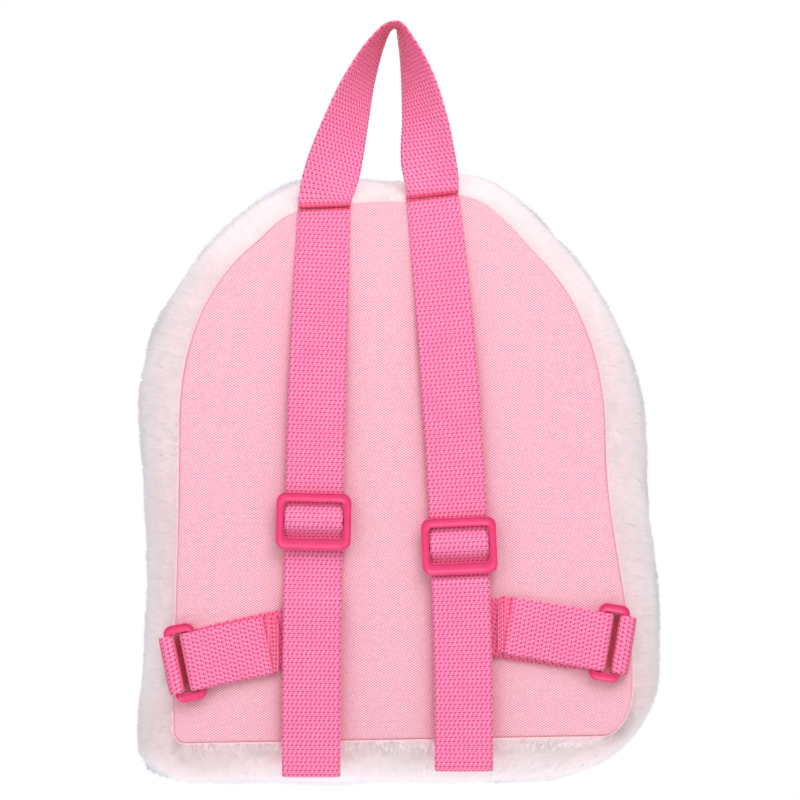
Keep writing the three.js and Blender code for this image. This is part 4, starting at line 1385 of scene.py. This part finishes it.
def stitches(name, places, alongs, ups, long, thick):
    """Short round threads that dip in at both ends, one for each place."""
    rings = 7
    segments = 6
    s = np.linspace(-1, 1, rings)
    radius = thick / 2 * np.sqrt(np.clip(1 - np.abs(s) ** 3, 0.02, 1))
    dip = -0.32 * np.abs(s) ** 3
    angle = np.linspace(0, 2 * math.pi, segments, endpoint=False)
    vertices, faces = [], []
    base = grid_faces(rings, segments, True)
    for k, (place, along, up) in enumerate(zip(places, alongs, ups)):
        along = unit(np.asarray(along, float))
        up = unit(np.asarray(up, float))
        across = np.cross(along, up)
        ring = (
            place
            + along * (s * long / 2)[:, None, None]
            + up * dip[:, None, None]
            + across * (radius[:, None] * np.cos(angle))[..., None]
            + up * (radius[:, None] * np.sin(angle))[..., None]
        )
        vertices.append(ring.reshape(-1, 3))
        faces.append(base + k * rings * segments)
    ends = []
    for k in range(len(places)):
        start = k * rings * segments
        first = start + np.arange(segments)
        last = start + (rings - 1) * segments + np.arange(segments)
        for j in range(1, segments - 1):
            ends.append((first[0], first[j + 1], first[j]))
            ends.append((last[0], last[j], last[j + 1]))
    blocks = [np.concatenate(faces), np.array(ends)]
    mesh_object(name, np.concatenate(vertices), blocks, STITCH)


STITCH_LONG = 1.25
STITCH_THICK = 0.5
STITCH_PITCH = 1.85
STITCH_FROM = -10.9
STITCH_TO = 8.2


def sewn_end_stitches(side):
    """Two rows of stitches across the side strap's free end."""
    _, _, place = ring_frame(side)
    places, alongs, ups = [], [], []
    out = np.array([0, -1.0, 0])
    for back in SEWN_ROWS:
        for high in np.arange(STITCH_FROM, STITCH_TO, STITCH_PITCH):
            slant = high * math.tan(math.radians(side["slope"]))
            point = place(side["sewn_end"] + END_EASE - back + slant, ON_ONE - WEB_THICK * 0.5, high)
            point = drape(point[None])[0]
            places.append(point)
            alongs.append(np.array([0, 0, 1.0]))
            ups.append(out)
    stitches("stitches_" + side["name"], places, alongs, ups, STITCH_LONG, STITCH_THICK)


# Zip over the top
ZIP_REACH = ZIP_COLUMNS - 0.5
TAPE_STEPS = 160
TAPE_HALF = 4.3
TAPE_FACE = -0.6
TAPE_BACK = -2.0
TOOTH_PITCH = 0.42
TOOTH_HALF = 0.17
HALF_SECTIONS = np.array([[0, 1, 2, 3], [0, 3, 4, 5]])  # the two quads that close a six-sided section


def zip_point(column, across, out):
    """A place on the zip: outline column, millimetres across its line, and millimetres out of the plush."""
    row = ZIP_ROW + across / (ARC[-1] / (ROWS - 1))
    row = np.broadcast_to(row, column.shape)
    return at(SIDE, row, column) + unit(at(SIDE_NORMAL, row, column)) * out


def zip_closure():
    column = np.linspace(-ZIP_REACH, ZIP_REACH, TAPE_STEPS)
    section = (
        (-TAPE_HALF, TAPE_FACE),
        (-TAPE_HALF * 0.5, TAPE_FACE),
        (TAPE_HALF * 0.5, TAPE_FACE),
        (TAPE_HALF, TAPE_FACE),
        (TAPE_HALF, TAPE_BACK),
        (-TAPE_HALF, TAPE_BACK),
    )
    grid = np.stack([zip_point(column, np.array(a), b) for a, b in section], 1)
    count = len(section)
    quads = grid_faces(len(column), count, True)
    total = len(column) * count
    ends = [HALF_SECTIONS[:, ::-1], total - count + HALF_SECTIONS]
    tape = mesh_object("zip_tape", grid.reshape(-1, 3), [quads, *ends], ZIP_TAPE)
    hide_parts("zip")
    columns = np.arange(-ZIP_REACH + 0.6, ZIP_REACH - 8.0, TOOTH_PITCH)
    vertices, faces = [], []
    box = np.array([[0, 1, 2, 3], [7, 6, 5, 4], [0, 4, 5, 1], [1, 5, 6, 2], [2, 6, 7, 3], [3, 7, 4, 0]])
    for k, column in enumerate(columns):
        sign = 1 if k % 2 else -1
        a, b = column - TOOTH_HALF, column + TOOTH_HALF
        low, high = -0.6, 0.7
        inner, outer = -0.35 * sign, 1.6 * sign
        corners = [
            (a, inner, low),
            (b, inner, low),
            (b, outer, low),
            (a, outer, low),
            (a, inner, high),
            (b, inner, high),
            (b, outer * 0.85, high),
            (a, outer * 0.85, high),
        ]
        points = [zip_point(np.array([c]), np.array([d]), e)[0] for c, d, e in corners]
        vertices.append(np.array(points))
        faces.append((box if sign < 0 else box[:, ::-1]) + 8 * k)
    mesh_object("zip_teeth", np.concatenate(vertices), [np.concatenate(faces)], ZIP_TEETH)


def zip_slider():
    """Slider body and a pull tab that hangs down the side."""

    def block(c0, c1, half0, half1, low, high):
        """A rounded block along the zip between two columns, from one half width to another."""
        steps = 8
        soften = 0.6
        columns = np.linspace(c0, c1, steps)
        rings = []
        for column in columns:
            s = (column - c0) / (c1 - c0)
            half = half0 + (half1 - half0) * s
            edge = min(s, 1 - s) * (steps - 1)
            trim = soften * (1 - min(edge, 1)) * 0.8
            half -= trim
            top = high - trim
            foot = low + trim * 0.3
            section = (
                (-half, foot),
                (-half, top - soften),
                (-half + soften, top),
                (half - soften, top),
                (half, top - soften),
                (half, foot),
            )
            rings.append([zip_point(np.array([column]), np.array([a]), b)[0] for a, b in section])
        return np.array(rings)

    parts = [
        block(ZIP_REACH - 8.8, ZIP_REACH - 1.6, 2.5, 3.0, 0.0, 3.1),
        block(ZIP_REACH - 5.6, ZIP_REACH + 4.0, 2.2, 2.2, 3.4, 4.4),
        block(ZIP_REACH + 3.0, ZIP_REACH + 12.4, 2.6, 3.2, 3.3, 4.7),
    ]
    vertices, faces = [], []
    start = 0
    for part in parts:
        rings, count, _ = part.shape
        quads = grid_faces(rings, count, True)
        total = rings * count
        vertices.append(part.reshape(-1, 3))
        faces.append(quads[:, ::-1] + start)
        faces.append(HALF_SECTIONS + start)
        faces.append(HALF_SECTIONS[:, ::-1] + start + total - count)
        start += total
    mesh_object("zip_slider", np.concatenate(vertices), faces, PLASTIC)


# Stage


def stage():
    scene = bpy.context.scene
    camera_data = bpy.data.cameras.new("camera")
    distance = 1.5
    span = 0.3448  # width of the picture at the back panel
    camera_data.sensor_width = 36
    camera_data.angle = 2 * math.atan(span / 2 / distance)
    camera = bpy.data.objects.new("camera", camera_data)
    camera.location = (0.0022, -distance, -0.1616)
    camera.rotation_euler = (math.pi / 2, 0, 0)
    scene.collection.objects.link(camera)
    scene.camera = camera

    floor_z = -0.75
    size = 1.2
    mesh = bpy.data.meshes.new("floor")
    corners = [(-size, -size, floor_z), (size, -size, floor_z), (size, size, floor_z), (-size, size, floor_z)]
    mesh.from_pydata(corners, [], [(0, 1, 2, 3)])
    floor = bpy.data.objects.new("floor", mesh)
    n = Nodes("floor")
    n.set(Base_Color=(0.86, 0.86, 0.86, 1), Roughness=0.9)
    mesh.materials.append(n.material)
    scene.collection.objects.link(floor)

    world = bpy.data.worlds.new("world")
    world.use_nodes = True
    tree = world.node_tree
    background = tree.nodes["Background"]
    background.inputs[0].default_value = (1, 1, 1, 1)
    background.inputs[1].default_value = 0.62
    white = tree.nodes.new("ShaderNodeBackground")
    white.inputs[0].default_value = (1, 1, 1, 1)
    white.inputs[1].default_value = 1.0
    path = tree.nodes.new("ShaderNodeLightPath")
    mix = tree.nodes.new("ShaderNodeMixShader")
    tree.links.new(path.outputs["Is Camera Ray"], mix.inputs[0])
    tree.links.new(background.outputs[0], mix.inputs[1])
    tree.links.new(white.outputs[0], mix.inputs[2])
    tree.links.new(mix.outputs[0], tree.nodes["World Output"].inputs[0])
    scene.world = world

    lights = (
        # name, place, power, width
        ("key", (0.3, -0.85, 0.7), 10.0, 0.8),
        ("fill", (-1.0, -1.2, 0.45), 5.5, 1.2),
        ("top", (0.1, 0.4, 1.1), 0.8, 0.9),
        ("under", (0.0, 0.12, -0.72), 1.6, 0.6),
        ("back", (-0.4, 1.5, 0.5), 10.0, 1.2),
    )
    target = np.array([0, 0, -0.18])
    for name, place, power, width in lights:
        data = bpy.data.lights.new(name, "AREA")
        data.energy = power
        data.size = width
        lamp = bpy.data.objects.new(name, data)
        lamp.location = place
        aim = target - np.array(place)
        yaw = math.atan2(-aim[0], aim[1])
        pitch = math.atan2(aim[2], math.hypot(aim[0], aim[1])) + math.pi / 2
        lamp.rotation_euler = (pitch, 0, yaw)
        scene.collection.objects.link(lamp)

    scene.view_settings.view_transform = "Standard"
    scene.view_settings.look = "None"


stage()
plush_skin()
front_skin()
back_panel()
grab_loop()
for row in SIDES:
    shoulder_strap(row)
    adjuster(row)
    side_strap(row)
    side_ring(row)
    anchor_tab(row)
    sewn_end_stitches(row)
zip_closure()
zip_slider()

ROUND = PERIMETER[-1]
QUARTERS = 4
BORDER = 36.0  # arc from the back seam that the camera sees closely
BORDER_HAIRS = (4.6, 0.37)  # hairs to a square millimetre, and their width
SIDE_HAIRS = (1.2, 0.85)
for quarter in range(QUARTERS):
    start = ROUND * quarter / QUARTERS
    stop = ROUND * (quarter + 1) / QUARTERS
    side_pile(f"pile_border_{quarter}", start, stop, 0.0, BORDER, *BORDER_HAIRS)
side_pile("pile_side_right", 0, ROUND / 2, BORDER, ARC[-1], *SIDE_HAIRS)
side_pile("pile_side_left", ROUND / 2, ROUND, BORDER, ARC[-1], *SIDE_HAIRS)
front_pile("pile_front", 42000, 0.85, 9)
